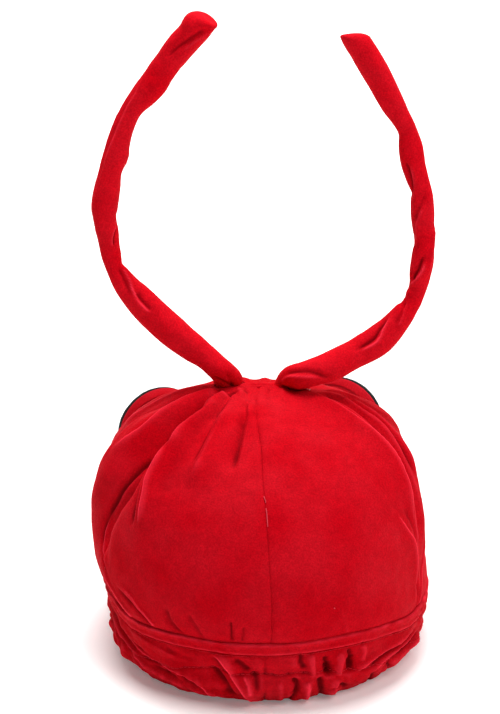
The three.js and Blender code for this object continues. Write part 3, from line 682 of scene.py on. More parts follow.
black_cloth, tree, shader, place = new_material("black_satin")
weave = noise(tree, place, 1200, 2, (-600, 0))
soft = noise(tree, place, 60, 2, (-600, -250))
tint = mix_colour(tree, weave, srgb(2, 2, 3), srgb(12, 11, 13), (-300, 0))
tree.links.new(tint, shader.inputs["Base Color"])
tree.links.new(spread(tree, soft, 0.3, 0.7, 0.6, 0.75, (-300, -250)), shader.inputs["Roughness"])
shader.inputs["Specular IOR Level"].default_value = 0.08
raised = add_node(tree, "ShaderNodeBump", (-200, -450), put={"Strength": 0.3, "Distance": 0.0003})
tree.links.new(weave, raised.inputs["Height"])
tree.links.new(raised.outputs["Normal"], shader.inputs["Normal"])
print("materials:", [m.name for m in bpy.data.materials])

# %% [markdown]
# ## The three crown panels
# The crown is sewn from three pieces: two at the back, joined down the middle, and one that covers the
# front from side to side. Each is a wall of cloth between its two seams. Its edges roll inwards into the
# seam, which draws the thin dark line, and the cloth puckers a little beside it.


# %% Crown panels
def seam_line(name, side, turn=0):
    """A seam's azimuth down the cloth, half a gap to one side."""
    def line(along):
        at = read_table(SEAMS, along)[name]
        reach = form_point(wrap(at + 0.5), along) - form_point(wrap(at - 0.5), along)
        reach = np.maximum(np.linalg.norm(reach, axis=-1), 0.01)
        return at + turn + side * 0.006 / reach
    return line


def crown_panel(name, left, right, columns, rows, bunch=0.0):
    along = np.linspace(GAP_SHARE, CROWN_HEM - 0.2 * GAP_SHARE, rows + 1)
    low, high = left(along), right(along)
    share = np.linspace(0, 1, columns + 1)
    share = share - bunch * np.sin(2 * np.pi * share)  # closer columns beside the seams
    azimuth = low[:, None] + (high - low)[:, None] * share
    along = np.repeat(along[:, None], columns + 1, axis=1)
    turned = wrap(azimuth)
    base = form_point(turned, along)
    step = np.linalg.norm(np.diff(base, axis=1), axis=-1)
    run = np.concatenate([np.zeros((rows + 1, 1)), np.cumsum(step, axis=1)], axis=1)
    hem = (CROWN_HEM - along) * cloth_length()
    height = fold_height(FOLDS, turned, along)
    height += line_height(CROWN_LINES, turned, along) * smoothstep(hem, 0, 2.5)
    height += 0.35 * waves(base, 46, 3) + 0.10 * waves(base, 11, 5)
    calm = smoothstep(along, 0.02, 0.12)
    for near, seed in ((run, 11), (run[:, -1:] - run, 12)):
        height -= (0.9 - 0.5 * smoothstep(along, 0.28, 0.40)) * np.exp(-((near / 1.1) ** 2))
        pucker = waves(base * [0.3, 0.3, 1.0], 9, seed)
        height += (0.35 * pucker + 0.25) * calm * np.exp(-((near - 4) / 3.2) ** 2)
    height -= 0.25 * np.exp(-((hem / 1.0) ** 2))
    # painted highlight along the sharp crests of the fine folds
    edge = line_edges(CROWN_LINES, turned, along)
    return cloth_wall(name, crown_velvet, azimuth, along, height, CLOTH_WALL, edge=edge)


fine = 1
back_left = crown_panel("crown_back_left", seam_line("left", 1), seam_line("centre", -1), 126 // fine, 200 // fine)
back_right = crown_panel("crown_back_right", seam_line("centre", 1), seam_line("right", -1), 116 // fine, 180 // fine)
crown_front = crown_panel(
    "crown_front", seam_line("right", 1), seam_line("left", -1, 360), 250 // fine, 180 // fine, 0.09)
panels = [(back_left, "back_panel_left"), (back_right, "back_panel_right"), (crown_front, "front_panel")]

# %% [markdown]
# ## The welt
# Between crown and band lies a narrow folded strip. It is only 5 mm tall, stands a little proud, and its
# two folded edges are rolled and carry a painted highlight, a lighter pink mixed into the colour. The
# gathers of the crown above push it in and out by a fraction of a millimetre. A closed ring of the same
# cloth wall makes it.

# %% Welt
columns, rows = 620 // fine, 9
along = np.linspace(CROWN_HEM + 0.2 * GAP_SHARE, BAND_TOP - 0.2 * GAP_SHARE, rows + 1)[:, None]
azimuth = np.linspace(-180, 180, columns + 1)[:-1][None, :]
azimuth, along = (a.copy() for a in np.broadcast_arrays(azimuth, along))
place = form_point(azimuth, along)
across = (along - CROWN_HEM) / (BAND_TOP - CROWN_HEM)
edges = np.exp(-((across / 0.16) ** 2)) + np.exp(-(((1 - across) / 0.16) ** 2))
height = WELT_STAND + 0.3 - 0.5 * edges - 0.35 * np.exp(-(((across - 0.5) / 0.2) ** 2))
height += 0.34 * waves(place, 13, 21) + 0.20 * waves(place, 5, 22)
# painted highlight along the welt's two folded edges, uneven along the ring
painted_welt_highlight = 0.55 * np.clip(edges, 0, 1) * (0.6 + 0.4 * waves(place, 9, 23))
welt = cloth_wall("band_welt_strip", crown_velvet, azimuth, along, height, CLOTH_WALL, True, painted_welt_highlight)

# %% [markdown]
# ## The gathered band
# An elastic in a casing at the rim draws the band in, so the cloth above it stands in soft ruffles with
# dark pockets between them, and the casing itself is crinkled. On the left the gathers have slipped into
# long slanting folds. The ruffles come from one wavy rule, the slanting folds from lines as on the crown,
# and the rim rises a little between the places where it touches the ground.

# %% Gathered band
BAND_LINES = [
    # long slanting folds on the left, each with a steep lower edge
    (2.1, 1.1, 5.5, (-64, 0.832), (-57, 0.866), (-50, 0.882), (-45, 0.893), (-39, 0.901), (-32, 0.911),
     (-27, 0.918), (-20, 0.942), (-16, 0.990)),
    (-1.8, 3.2, 1.2, (-60, 0.884), (-54, 0.902), (-46, 0.914), (-38, 0.922), (-30, 0.934), (-23, 0.960)),
    (1.6, 1.0, 4.0, (-72, 0.862), (-64, 0.880), (-56, 0.896), (-51, 0.908), (-45, 0.926), (-40, 0.965)),
    (-1.3, 2.6, 1.2, (-68, 0.890), (-58, 0.915), (-50, 0.932), (-45, 0.955)),
    (1.3, 1.0, 3.5, (-82, 0.860), (-74, 0.888), (-68, 0.914), (-62, 0.945), (-57, 0.985)),
    (-1.1, 2.6, 1.2, (-78, 0.890), (-70, 0.925), (-64, 0.960)),
    (0.9, 3.0, 1.4, (-54, 0.822), (-42, 0.834), (-32, 0.850), (-26, 0.872)),
    (-0.9, 2.0, 2.6, (-34, 0.836), (-26, 0.850), (-20, 0.862)),
    # the great fold beside the back seam and its hollows
    (3.0, 1.1, 6.0, (-17, 0.815), (-13, 0.838), (-11, 0.864), (-9, 0.896), (-6.5, 0.930), (-5, 0.965), (-3, 1.0)),
    (-2.2, 4.0, 1.3, (-17, 0.862), (-13, 0.896), (-10.5, 0.930), (-9, 0.985)),
    (-1.9, 2.2, 2.4, (-9, 0.832), (-6, 0.852), (-3.2, 0.876)),
    (-1.8, 2.0, 2.2, (-3.0, 0.872), (-1.6, 0.900), (-1.4, 0.945)),
    (1.2, 1.2, 2.2, (-6, 0.884), (-4, 0.915), (-3.4, 0.950)),
    # right of the back seam: pockets over the casing and ruffles between them
    (-2.2, 1.8, 1.8, (12.6, 0.815), (12.2, 0.845), (14, 0.874)),
    (2.5, 2.3, 1.5, (15.5, 0.818), (16, 0.850), (16.5, 0.880), (17, 0.908)),
    (-2.6, 1.5, 1.9, (19.6, 0.832), (21, 0.872), (22, 0.916)),
    (-2.6, 3.0, 3.2, (20.6, 0.862), (21.4, 0.884), (22, 0.912)),
    (2.8, 2.4, 1.4, (24.5, 0.830), (25.6, 0.862), (25.6, 0.892), (25, 0.914)),
    (-2.8, 1.6, 1.9, (27.6, 0.822), (29.2, 0.862), (30, 0.914)),
    (-2.8, 3.0, 3.0, (28.8, 0.852), (29.6, 0.880), (30, 0.914)),
    (1.5, 2.6, 1.6, (33, 0.818), (34.2, 0.852), (34, 0.892)),
    (2.4, 2.4, 1.3, (15, 0.912), (15.6, 0.950), (16.5, 1.0)),
    (-2.6, 1.5, 1.8, (18.6, 0.906), (20, 0.948), (22.5, 1.010)),
    (-1.6, 3.0, 3.0, (18.6, 0.905), (19.6, 0.940), (21, 0.975)),
    (-2.4, 1.6, 1.6, (23, 0.960), (27, 0.950), (31, 0.978)),
    (-2.3, 1.5, 1.6, (10.0, 0.896), (11.6, 0.935), (10.2, 0.995)),
    (-1.6, 2.8, 2.8, (10.6, 0.900), (11.4, 0.930), (11, 0.960)),
    (1.9, 2.6, 1.4, (6, 0.905), (6.6, 0.950), (7, 1.0)),
    (2.2, 2.6, 1.6, (24.5, 0.918), (25, 0.965), (26, 1.0)),
    # slanting folds that rise to the right, each with a steep lower edge
    (2.0, 1.1, 4.0, (30, 0.926), (34, 0.908), (37, 0.894), (41, 0.882), (45, 0.869), (51, 0.858),
     (57, 0.846), (66, 0.830)),
    (-2.4, 1.8, 1.3, (36, 0.922), (41, 0.903), (46, 0.889), (52, 0.877), (58, 0.867), (66, 0.850)),
    (1.8, 1.1, 2.6, (38, 0.942), (42, 0.920), (45, 0.906), (49, 0.895), (56, 0.888), (62, 0.880), (70, 0.864)),
    (-2.0, 1.8, 1.3, (43, 0.946), (49, 0.922), (56, 0.911), (63, 0.902), (72, 0.886)),
    (1.6, 1.2, 2.8, (48, 0.965), (56, 0.940), (64, 0.925), (73, 0.910), (84, 0.892)),
    (-1.6, 2.0, 1.4, (54, 0.980), (62, 0.955), (70, 0.942), (82, 0.922)),
    (-2.8, 1.8, 1.8, (39, 0.938), (42, 0.965), (45, 1.0)),
    (-2.2, 1.6, 1.6, (46, 0.922), (49, 0.955), (51, 0.990)),
]
RIM_LIFT = make_table("azimuth lift", [
    [-180, 0.0], [-150, 2.0], [-120, 0.0], [-95, 2.2], [-76, 4.6], [-67, 4.8], [-59, 2.8],
    [-50, 0.8], [-38, 1.9], [-27, 1.4],
    [-17, 2.2], [-9, 1.6], [-3, 0.0], [2, 0.8], [8.5, 2.6], [12, 0.6], [18, 0.2], [22, 1.6], [29, 0.6],
    [36, 0.0], [46, 0.0], [54, 1.6], [62, 3.4], [70, 1.2], [84, 2.0], [105, 0.0], [130, 2.0], [150, 0.0],
    [180, 0.0],
])
STITCH_LINE = make_table("azimuth along", [
    [-180, 0.900], [-120, 0.905], [-65, 0.915], [-47, 0.908], [-30, 0.903], [-24, 0.890], [-15, 0.877],
    [-8, 0.886], [1, 0.888], [6, 0.895], [11, 0.887], [16, 0.893], [22, 0.899], [28, 0.905], [37, 0.916],
    [60, 0.915], [120, 0.905], [180, 0.900],
])


def band_height(azimuth, along):
    """The band's outer face over the form: ruffles, folds, the stitched casing and its crinkles."""
    place = form_point(azimuth, along)
    body = RUFFLE_DEPTH * read_table(BAND_SWELL, along)["body"]
    traced = np.exp(-(((azimuth + 10) / 85) ** 6))  # there the lines take the ruffles' place
    height = body + (ruffle_height(azimuth, along) - body) * (0.8 - 0.6 * traced)
    height += 0.7 * fold_height(BAND_FOLDS, azimuth, along) + line_height(BAND_LINES, azimuth, along)
    stitch = (along - read_table(STITCH_LINE, azimuth)["along"]) * cloth_length()
    crinkle = waves(place * [1.0, 1.0, 0.35], 7.5, 31)
    below = smoothstep(stitch, -3, 3)
    height -= 0.9 * np.exp(-((stitch / 1.0) ** 2))
    height += crinkle * (0.20 + 0.45 * below) + 0.5 * below
    height += 0.4 * waves(place * [1.0, 1.0, 0.5], 17, 33) + 0.15 * waves(place, 4, 34)
    top = (along - BAND_TOP) * cloth_length()
    tuck = np.maximum(waves(place * [1, 1, 0.1], 6.5, 35), 0)
    height -= (0.6 + 0.8 * tuck) * np.exp(-((top / 2.2) ** 2))
    seam = azimuth - 1.2
    return height - 1.0 * np.exp(-((seam / 0.75) ** 2))


columns, rows = 640 // fine, 60 // fine
azimuth = np.linspace(-180, 180, columns + 1)[:-1][None, :]
top = BAND_TOP + 0.2 * GAP_SHARE
rim = 1 - read_table(RIM_LIFT, azimuth)["lift"] / cloth_length()
along = top + (rim - top) * np.linspace(0, 1, rows + 1)[:, None]
azimuth, along = (a.copy() for a in np.broadcast_arrays(azimuth, along))
height = band_height(azimuth, along)
# painted highlight along the sharp crests of the band's folds; cloth_wall adds painted shade in the pockets, and the
# band's velvet copy is darkened with painted shade
edge = line_edges(BAND_LINES, azimuth, along, True)
band = cloth_wall("gathered_band_cloth", band_velvet_painted_shade, azimuth, along, height, BAND_WALL, True, edge)

# %% [markdown]
# ## The antennae
# Each antenna is a narrow velvet sleeve pulled over a bent wire and lightly stuffed. The sleeve is a
# little too long for its wire, so it twists and wrinkles at every bend, and its tip is only turned in:
# blunt on the left, flat on the right. The real right tip is frayed too, which is left out here. A tube
# is swept along the same points as the CAD sleeve, with its foot set back a few millimetres. Rings are
# turned along the curve without twisting, and the surface is then pushed in along creases that wind
# round the tube.

# %% Antenna points: out, up and fore as shares of reach, rise and lean, and width
LEFT_ANTENNA = [
    (0.205, -0.020, 0.10, 1.00), (0.225, 0.023, 0.05, 1.00), (0.302, 0.063, 0.10, 1.02),
    (0.427, 0.104, 0.25, 1.14), (0.579, 0.158, 0.40, 1.22), (0.719, 0.215, 0.53, 1.20),
    (0.842, 0.277, 0.64, 1.00), (0.920, 0.335, 0.74, 0.76), (0.947, 0.416, 0.82, 0.92),
    (0.965, 0.479, 0.89, 1.02), (0.934, 0.560, 0.95, 0.99), (0.882, 0.641, 1.00, 0.98),
    (0.787, 0.750, 1.00, 0.86), (0.684, 0.804, 0.97, 1.08), (0.503, 0.911, 0.87, 1.13),
    (0.401, 0.964, 0.79, 1.18), (0.348, 0.992, 0.70, 1.02),
]
RIGHT_ANTENNA = [
    (0.170, -0.020, 0.00, 0.95), (0.195, 0.021, -0.10, 0.98), (0.285, 0.042, -0.35, 1.04),
    (0.417, 0.059, -0.20, 1.12), (0.580, 0.086, 0.19, 1.17), (0.728, 0.118, 0.44, 1.22),
    (0.862, 0.178, 0.60, 0.98), (0.954, 0.240, 0.71, 0.75), (0.989, 0.303, 0.79, 0.93),
    (1.001, 0.435, 0.92, 0.91), (0.984, 0.532, 0.96, 0.84), (0.917, 0.641, 1.00, 0.98),
    (0.889, 0.695, 0.99, 0.80), (0.820, 0.750, 0.96, 0.91), (0.685, 0.858, 0.86, 1.10),
    (0.612, 0.911, 0.79, 1.08), (0.560, 0.941, 0.71, 1.10),
]


# %% The curve of a sleeve
def sleeve_curve(rows, side, per_step):
    """Centres, tangents and widths along a curve that passes through every row."""
    out, up, fore, wide = np.array(rows).T
    top = form_point(0.0, 0.0)[2]
    given = np.stack([side * out * ANTENNA_REACH, fore * ANTENNA_LEAN, top + up * ANTENNA_RISE], axis=1)
    p = np.vstack([2 * given[0] - given[1], given, 2 * given[-1] - given[-2]])
    centres, tangents, keys = [], [], []
    for i in range(len(given) - 1):
        a, b, c, d = p[i : i + 4]
        ab, bc, cd = (max(np.linalg.norm(v) ** 0.5, 1e-4) for v in (b - a, c - b, d - c))
        start = ((b - a) / ab - (c - a) / (ab + bc) + (c - b) / bc) * bc
        end = ((c - b) / bc - (d - b) / (bc + cd) + (d - c) / cd) * bc
        t = np.linspace(0, 1, per_step, endpoint=i == len(given) - 2)[:, None]
        centres.append(b + start * t + (3 * (c - b) - 2 * start - end) * t**2 + (2 * (b - c) + start + end) * t**3)
        tangents.append(start + 2 * (3 * (c - b) - 2 * start - end) * t + 3 * (2 * (b - c) + start + end) * t**2)
        keys.append(i + t[:, 0])
    widths = read_table(make_table("row wide", list(enumerate(wide))), np.concatenate(keys))["wide"]
    return np.concatenate(centres), unit(np.concatenate(tangents)), 0.5 * ANTENNA_WIDTH * widths


def even_steps(centres, tangents, radii, step):
    """The same curve at even distances."""
    run = np.concatenate([[0], np.cumsum(np.linalg.norm(np.diff(centres, axis=0), axis=1))])
    at = np.linspace(0, run[-1], int(run[-1] / step) + 1)
    pick = lambda values: np.stack([np.interp(at, run, v) for v in values.T], axis=1)
    return at, pick(centres), unit(pick(tangents)), np.interp(at, run, radii)


def carried_frames(tangents):
    """Normals carried along the curve without twist, from +X at a tangent of +Z, and their partners."""
    normal, before, normals = Vector((1, 0, 0)), Vector((0, 0, 1)), []
    for tangent in tangents:
        now = Vector(tangent)
        normal = (before.rotation_difference(now) @ normal).normalized()
        normals.append(normal[:])
        before = now
    normals = np.array(normals)
    return normals, np.cross(tangents, normals)


# %% How the outline swells: at a run in mm, what it stands out on the side of +X and on the side of -X
LEFT_SWELL = make_table("run plus minus", [
    [0, 3.2, 1.0], [7, 2.6, 0.4], [14, 0.7, -0.4], [20, -0.1, -0.4], [28, -0.1, -0.7], [36, 0.2, -0.1],
    [44, 0.1, 0.3], [52, 0.4, 0.5],
    [68, 0.4, 0.4], [84, 0.3, 0.1], [88, -0.1, 0.1], [96, -0.4, 0.0], [100, -0.3, -0.2], [104, -0.8, -0.3],
    [108, 0.0, -0.3], [112, 0.4, -0.1], [120, -0.3, -0.1], [128, -0.5, 0.2], [132, -0.9, -0.1],
    [136, -0.9, -0.2], [140, 0.0, 0.3], [144, 0.3, 0.5], [148, 0.4, 0.5], [156, 0.0, 0.3], [160, -0.6, 0.0],
    [164, -1.0, -0.1], [168, -0.5, 0.0], [172, 0.4, 0.0], [176, 0.4, 0.0], [180, -0.5, 0.2],
    [184, -0.9, 0.2], [188, -1.1, 0.2], [196, -0.8, 0.2], [200, -0.6, -0.1], [208, 0.0, -0.1],
    [216, 0.0, 0.0], [224, 0.4, -0.2], [228, 0.0, -0.2], [232, -0.5, 0.0], [240, -0.6, -0.3],
    [244, -0.2, -0.1], [252, 0.0, 0.0], [260, 0.0, -0.6], [264, 0.1, 0.1], [268, 0.4, 0.8], [275, 1.4, 1.0],
])
RIGHT_SWELL = make_table("run plus minus", [
    [0, 0.5, 3.2], [7, 0.5, 1.4], [14, 0.5, 0.5], [24, 0.4, 0.3], [40, 0.8, 0.4], [44, 0.3, 0.3],
    [52, -0.1, 0.0], [60, -0.1, 0.5],
    [72, 0.0, 0.3], [80, 0.1, -0.1], [92, 0.2, -0.1], [96, 0.1, -1.1], [100, 0.3, -0.9], [104, 0.1, -0.1],
    [108, -0.2, -0.8], [112, -0.4, -1.0], [116, -0.4, -0.6], [120, 0.0, -0.2], [128, 0.6, -0.7],
    [132, 0.6, -1.2], [136, 0.8, -1.9], [140, 0.7, -1.6], [144, 0.4, -0.8], [148, -0.1, -0.1],
    [156, 0.3, 0.7], [160, 0.3, 0.7], [164, 0.4, 0.4], [168, 0.1, -0.5], [172, -0.3, 0.3], [176, -0.6, 0.9],
    [184, -0.8, 1.1], [188, -0.4, 0.8], [196, 0.0, -0.2], [208, -0.3, -0.5], [216, -0.4, -0.4],
    [224, -0.2, 0.3], [232, -0.3, 0.2], [240, -0.4, -0.1], [256, -0.5, 0.2], [264, -0.5, -0.3],
    [274, -0.4, -2.6],
])

# %% Folds of the sleeves: height, width towards a lower and a higher turn, then points (run, turn)
# The camera's side is at a turn of -90 degrees, the side of +X at 0 and that of -X at 180.
FAR_FOLDS = [
    (-1.2, 2.4, 2.4, (60, 60), (95, 100), (130, 140)),
    (-1.2, 2.4, 2.4, (150, 120), (190, 85), (230, 50)),
]
LEFT_FOLDS = [
    (-1.6, 2.2, 1.8, (273, -48), (266, -73), (259, -85), (250, -101), (240, -110)),
    (0.7, 1.2, 3.0, (273, -30), (262, -58), (250, -72)),
    (0.9, 0.8, 1.6, (222, -140), (214, -126), (206, -118), (198, -115), (189, -118), (179, -123), (160, -125)),
    (-0.6, 2.6, 1.2, (214, -142), (200, -132), (185, -137), (170, -142), (150, -140)),
    (-1.4, 1.0, 1.6, (130, 0), (127, -35), (123, -52), (118, -55)),
    (0.8, 2.0, 0.9, (131, -15), (127, -50), (123, -66), (117, -68)),
    (1.1, 0.9, 3.5, (106, -28), (96, -47), (89, -65), (83, -74)),
    (-1.4, 2.6, 1.3, (106, -50), (98, -66), (92, -78), (84, -88)),
    (0.8, 3.0, 0.9, (93, -60), (85, -74), (79, -80), (69, -80)),
    (-1.3, 1.0, 1.8, (92, -53), (84, -67), (78, -72), (68, -68)),
    (-0.6, 4.0, 4.0, (78, -106), (58, -106), (43, -104), (27, -98)),
    (-1.8, 1.8, 1.6, (19, -135), (11, -100), (7, -70), (5, -45)),
    (-1.0, 1.3, 1.3, (14, -66), (9, -60), (4, -41)),
    *FAR_FOLDS,
]
RIGHT_FOLDS = [
    (-0.6, 4.0, 4.0, (264, -150), (247, -148), (229, -139), (212, -140)),
    (-1.7, 1.6, 1.6, (192, -162), (183, -156), (176, -162), (168, -174)),
    (1.0, 0.8, 2.6, (190, -130), (177, -145), (170, -160), (162, -178)),
    (-1.3, 2.2, 2.2, (170, -84), (162, -125), (157, -150), (149, -168)),
    (1.0, 0.9, 2.0, (163, -112), (154, -140), (147, -155), (134, -162)),
    (0.9, 1.8, 0.8, (150, -38), (141, -55), (134, -63), (126, -74), (115, -84)),
    (-1.0, 1.0, 1.6, (150, -18), (142, -30), (135, -36), (123, -47)),
    (-2.0, 1.8, 1.6, (132, -110), (123, -130), (118, -148), (112, -165)),
    (1.3, 0.8, 3.0, (128, -100), (119, -122), (114, -148), (109, -178)),
    (-1.1, 2.0, 2.0, (100, -174), (94, -150), (89, -136), (81, -126)),
    (0.9, 0.9, 2.4, (101, -150), (94, -134), (89, -119), (81, -110)),
    (-2.0, 2.2, 1.4, (87, -180), (75, -164), (68, -148), (61, -144), (48, -141)),
    (1.3, 0.8, 3.0, (88, -174), (77, -149), (71, -134), (65, -130), (54, -130)),
    (-1.5, 1.6, 1.4, (8, -158), (19, -147), (25, -118), (33, -66)),
    (0.8, 0.9, 2.4, (5, -141), (12, -140), (18, -128), (27, -92)),
    (-1.4, 1.4, 1.4, (6, -150), (6, -111), (4, -74)),
    *FAR_FOLDS,
]


# %% The crown's skin, for pieces that rest on it
def crown_surface():
    points, faces = [], []
    for panel, _ in panels:
        first = len(points)
        points += [v.co.copy() for v in panel.data.vertices]
        faces += [[first + i for i in f.vertices] for f in panel.data.polygons]
    return BVHTree.FromPolygons(points, faces)


crown_skin = crown_surface()
crown_core = np.array([0.0, 5.0, 70.0])


def seat_on_crown(points, clear=0.3):
    """Points that lie within the crown's cloth, moved out to rest on it."""
    seated = points.copy()
    for k, point in enumerate((points + SHIFT) * MM):
        start = Vector((crown_core + SHIFT) * MM)
        ray = Vector(point) - start
        away, heading = ray.length, ray.normalized()
        hit, last = None, start
        while True:
            found, _, _, _ = crown_skin.ray_cast(last, heading)
            if found is None:
                break
            hit, last = found, found + heading * 1e-5
        if hit is not None and away < (hit - start).length + clear * MM:
            out = hit + heading * clear * MM
            seated[k] = np.array(out) / MM - SHIFT
    return seated


# %% Sweep a sleeve
def sleeve_height(lines, run, turn, radii):
    """Sum of the heights of folds drawn on the sleeve laid flat, in millimetres."""
    height = np.zeros((len(run), len(turn)))
    for high, lower, higher, *points in lines:
        path = smooth_path(points)
        start, step = path[:-1], np.diff(path, axis=0)
        scale = np.radians(np.interp(start[:, 0], run, radii))
        to_run = run[:, None, None] - start[:, 0]
        to_arc = wrap(turn[None, :, None] - start[:, 1]) * scale
        step_arc = step[:, 1] * scale
        t = np.clip((to_run * step[:, 0] + to_arc * step_arc) / (step[:, 0] ** 2 + step_arc**2), 0, 1)
        gap_run, gap_arc = to_run - t * step[:, 0], to_arc - t * step_arc
        square = gap_run**2 + gap_arc**2
        best = square.argmin(-1)[..., None]
        pick = lambda field: np.take_along_axis(field, best, -1)[..., 0]
        side = pick((step[:, 0] * gap_arc - step_arc * gap_run) * np.sign(step[:, 0]))
        where = (best[..., 0] + pick(t)) / len(step)
        window = smoothstep(where, 0, 0.22) * (1 - smoothstep(where, 0.78, 1))
        height += high * window * np.exp(-pick(square) / np.where(side < 0, lower, higher) ** 2)
    return height


def sleeve(name, rows, side, swell, folds, tip, set_back, seed):
    """A velvet sleeve; tip is its extra length, its slant, and the rounding of its edge and that one's lean.

    Its foot is set back by some millimetres, so that the crown's folds rise in front of it.
    """
    longer, slant, rounding, lean = tip
    run, centres, tangents, radii = even_steps(*sleeve_curve(rows, side, 24), 0.8 * fine)
    more = np.array([0.4, 0.7, 0.9, 1.0]) * longer
    run = np.append(run, run[-1] + more)
    centres = np.concatenate([centres, centres[-1] + tangents[-1] * more[:, None]])
    tangents = np.concatenate([tangents, tangents[-1:].repeat(4, axis=0)])
    radii = np.append(radii, radii[-1:].repeat(4))
    normals, across = carried_frames(tangents)
    centres = centres + FORWARD * set_back * (1 - smoothstep(run, 0, 20))[:, None]
    sides = 72 // fine
    turn = np.linspace(-180, 180, sides, endpoint=False)
    around = np.radians(turn)
    spoke = normals[:, None] * np.cos(around)[:, None] + across[:, None] * np.sin(around)[:, None]
    surface = centres[:, None] + spoke * radii[:, None, None]
    flank = unit(np.cross(tangents, FORWARD))
    flank *= np.sign((flank * normals).sum(-1))[:, None]
    toward = (spoke * flank[:, None]).sum(-1)
    stands = read_table(swell, run)
    push = 0.5 * (stands["plus"] + stands["minus"])[:, None]
    push = push + 0.5 * (stands["plus"] - stands["minus"])[:, None] * toward
    facing = np.clip(1 - toward**2, 0, 1)
    push += facing * (0.35 * waves(surface, 19, seed) + 0.12 * waves(surface, 6, seed + 1))
    creases = sleeve_height(folds, run, turn, radii)
    push += creases
    nearest = np.clip(-(spoke @ FORWARD), 0, 1)
    push -= BASE_FLATTENED * nearest * (1 - smoothstep(run, 2, 16))[:, None]
    left = np.clip(run[-1] - run, 0, None)[:, None]
    curve = rounding - lean * toward
    close = curve - curve * np.sqrt(1 - (1 - np.minimum(left / curve, 1)) ** 2)
    reach = radii[:, None] + push - close
    points = centres[:, None] + spoke * reach[..., None]
    tip_shift = slant * reach * np.cos(around) * smoothstep(run, run[-1] - 14, run[-1])[:, None]
    points = points + tangents[:, None] * tip_shift[..., None]
    low = run < 18
    points[low] = seat_on_crown(points[low].reshape(-1, 3), 0.2).reshape(-1, sides, 3)
    count = len(run) * sides
    faces = [grid_faces(len(run) - 1, sides, True)[:, ::-1]]
    rings = [points.reshape(-1, 3)]
    last = np.arange(count - sides, count)
    for shrink, sink in ((0.82, -0.1), (0.50, 0.4), (0.20, 0.3), (0.03, 0.1)):
        middle = points[-1].mean(0)
        ring = middle + (points[-1] - middle) * shrink - tangents[-1] * sink
        start = sum(len(r) for r in rings)
        now = np.arange(start, start + sides)
        faces.append(np.stack([last, np.roll(last, -1), np.roll(now, -1), now], axis=-1))
        rings.append(ring)
        last = now
    # masks for painted highlight on the creases' crests and painted shade in their hollows; the sleeve's velvet copy
    # is lightened with painted light
    marks = painted_light_masks(creases - blur(creases, 4, True), creases - blur(creases, 1, True))
    marks = {mark: np.append(values, np.zeros(4 * sides)) for mark, values in marks.items()}
    piece = new_piece(name, np.concatenate(rings), np.concatenate(faces), sleeve_velvet_painted_light, marks)
    close_ends(piece)
    print(name, "is", round(run[-1]), "mm long and", len(piece.data.polygons), "faces")
    return piece


def close_ends(piece):
    """Fills the open loops left at the ends and turns every face outward."""
    work = bmesh.new()
    work.from_mesh(piece.data)
    bmesh.ops.holes_fill(work, edges=[e for e in work.edges if e.is_boundary], sides=0)
    bmesh.ops.triangulate(work, faces=[f for f in work.faces if len(f.verts) > 4])
    bmesh.ops.recalc_face_normals(work, faces=work.faces)
    for face in work.faces:
        face.smooth = True
    work.to_mesh(piece.data)
    work.free()


LEFT_TIP, RIGHT_TIP = (2.6, 0.05, 4.0, 2.5), (4.0, -0.70, 3.0, -1.4)
BASE_FLATTENED = 3.6
antenna_left = sleeve("antenna_left_sleeve", LEFT_ANTENNA, -1, LEFT_SWELL, LEFT_FOLDS, LEFT_TIP, 8.0, 41)
antenna_right = sleeve(
    "antenna_right_sleeve", RIGHT_ANTENNA, 1, RIGHT_SWELL, RIGHT_FOLDS, RIGHT_TIP, 4.0, 57)

# %% [markdown]
# ## The eyes
# Each eye is a stuffed disc: a red velvet back and a black face, sewn together round the edge. From
# behind only the back shows, and the black cloth as a thin line along its edge. Two domes of rings and
# spokes make it. Where a dome would reach into the cap, its points are laid on the crown's cloth.


# %% Eye domes
# Folds in an eye's red back: how far up the dome, how much that drifts round it, height, width and phase
EYE_FOLDS = [
    (0.34, 0.10, -0.9, 0.060, 0.4), (0.44, 0.10, 0.9, 0.070, 0.4), (0.66, 0.14, -0.9, 0.065, 1.3),
    (0.77, 0.14, 0.8, 0.080, 1.3), (1.02, 0.10, -0.7, 0.080, 2.2),
]


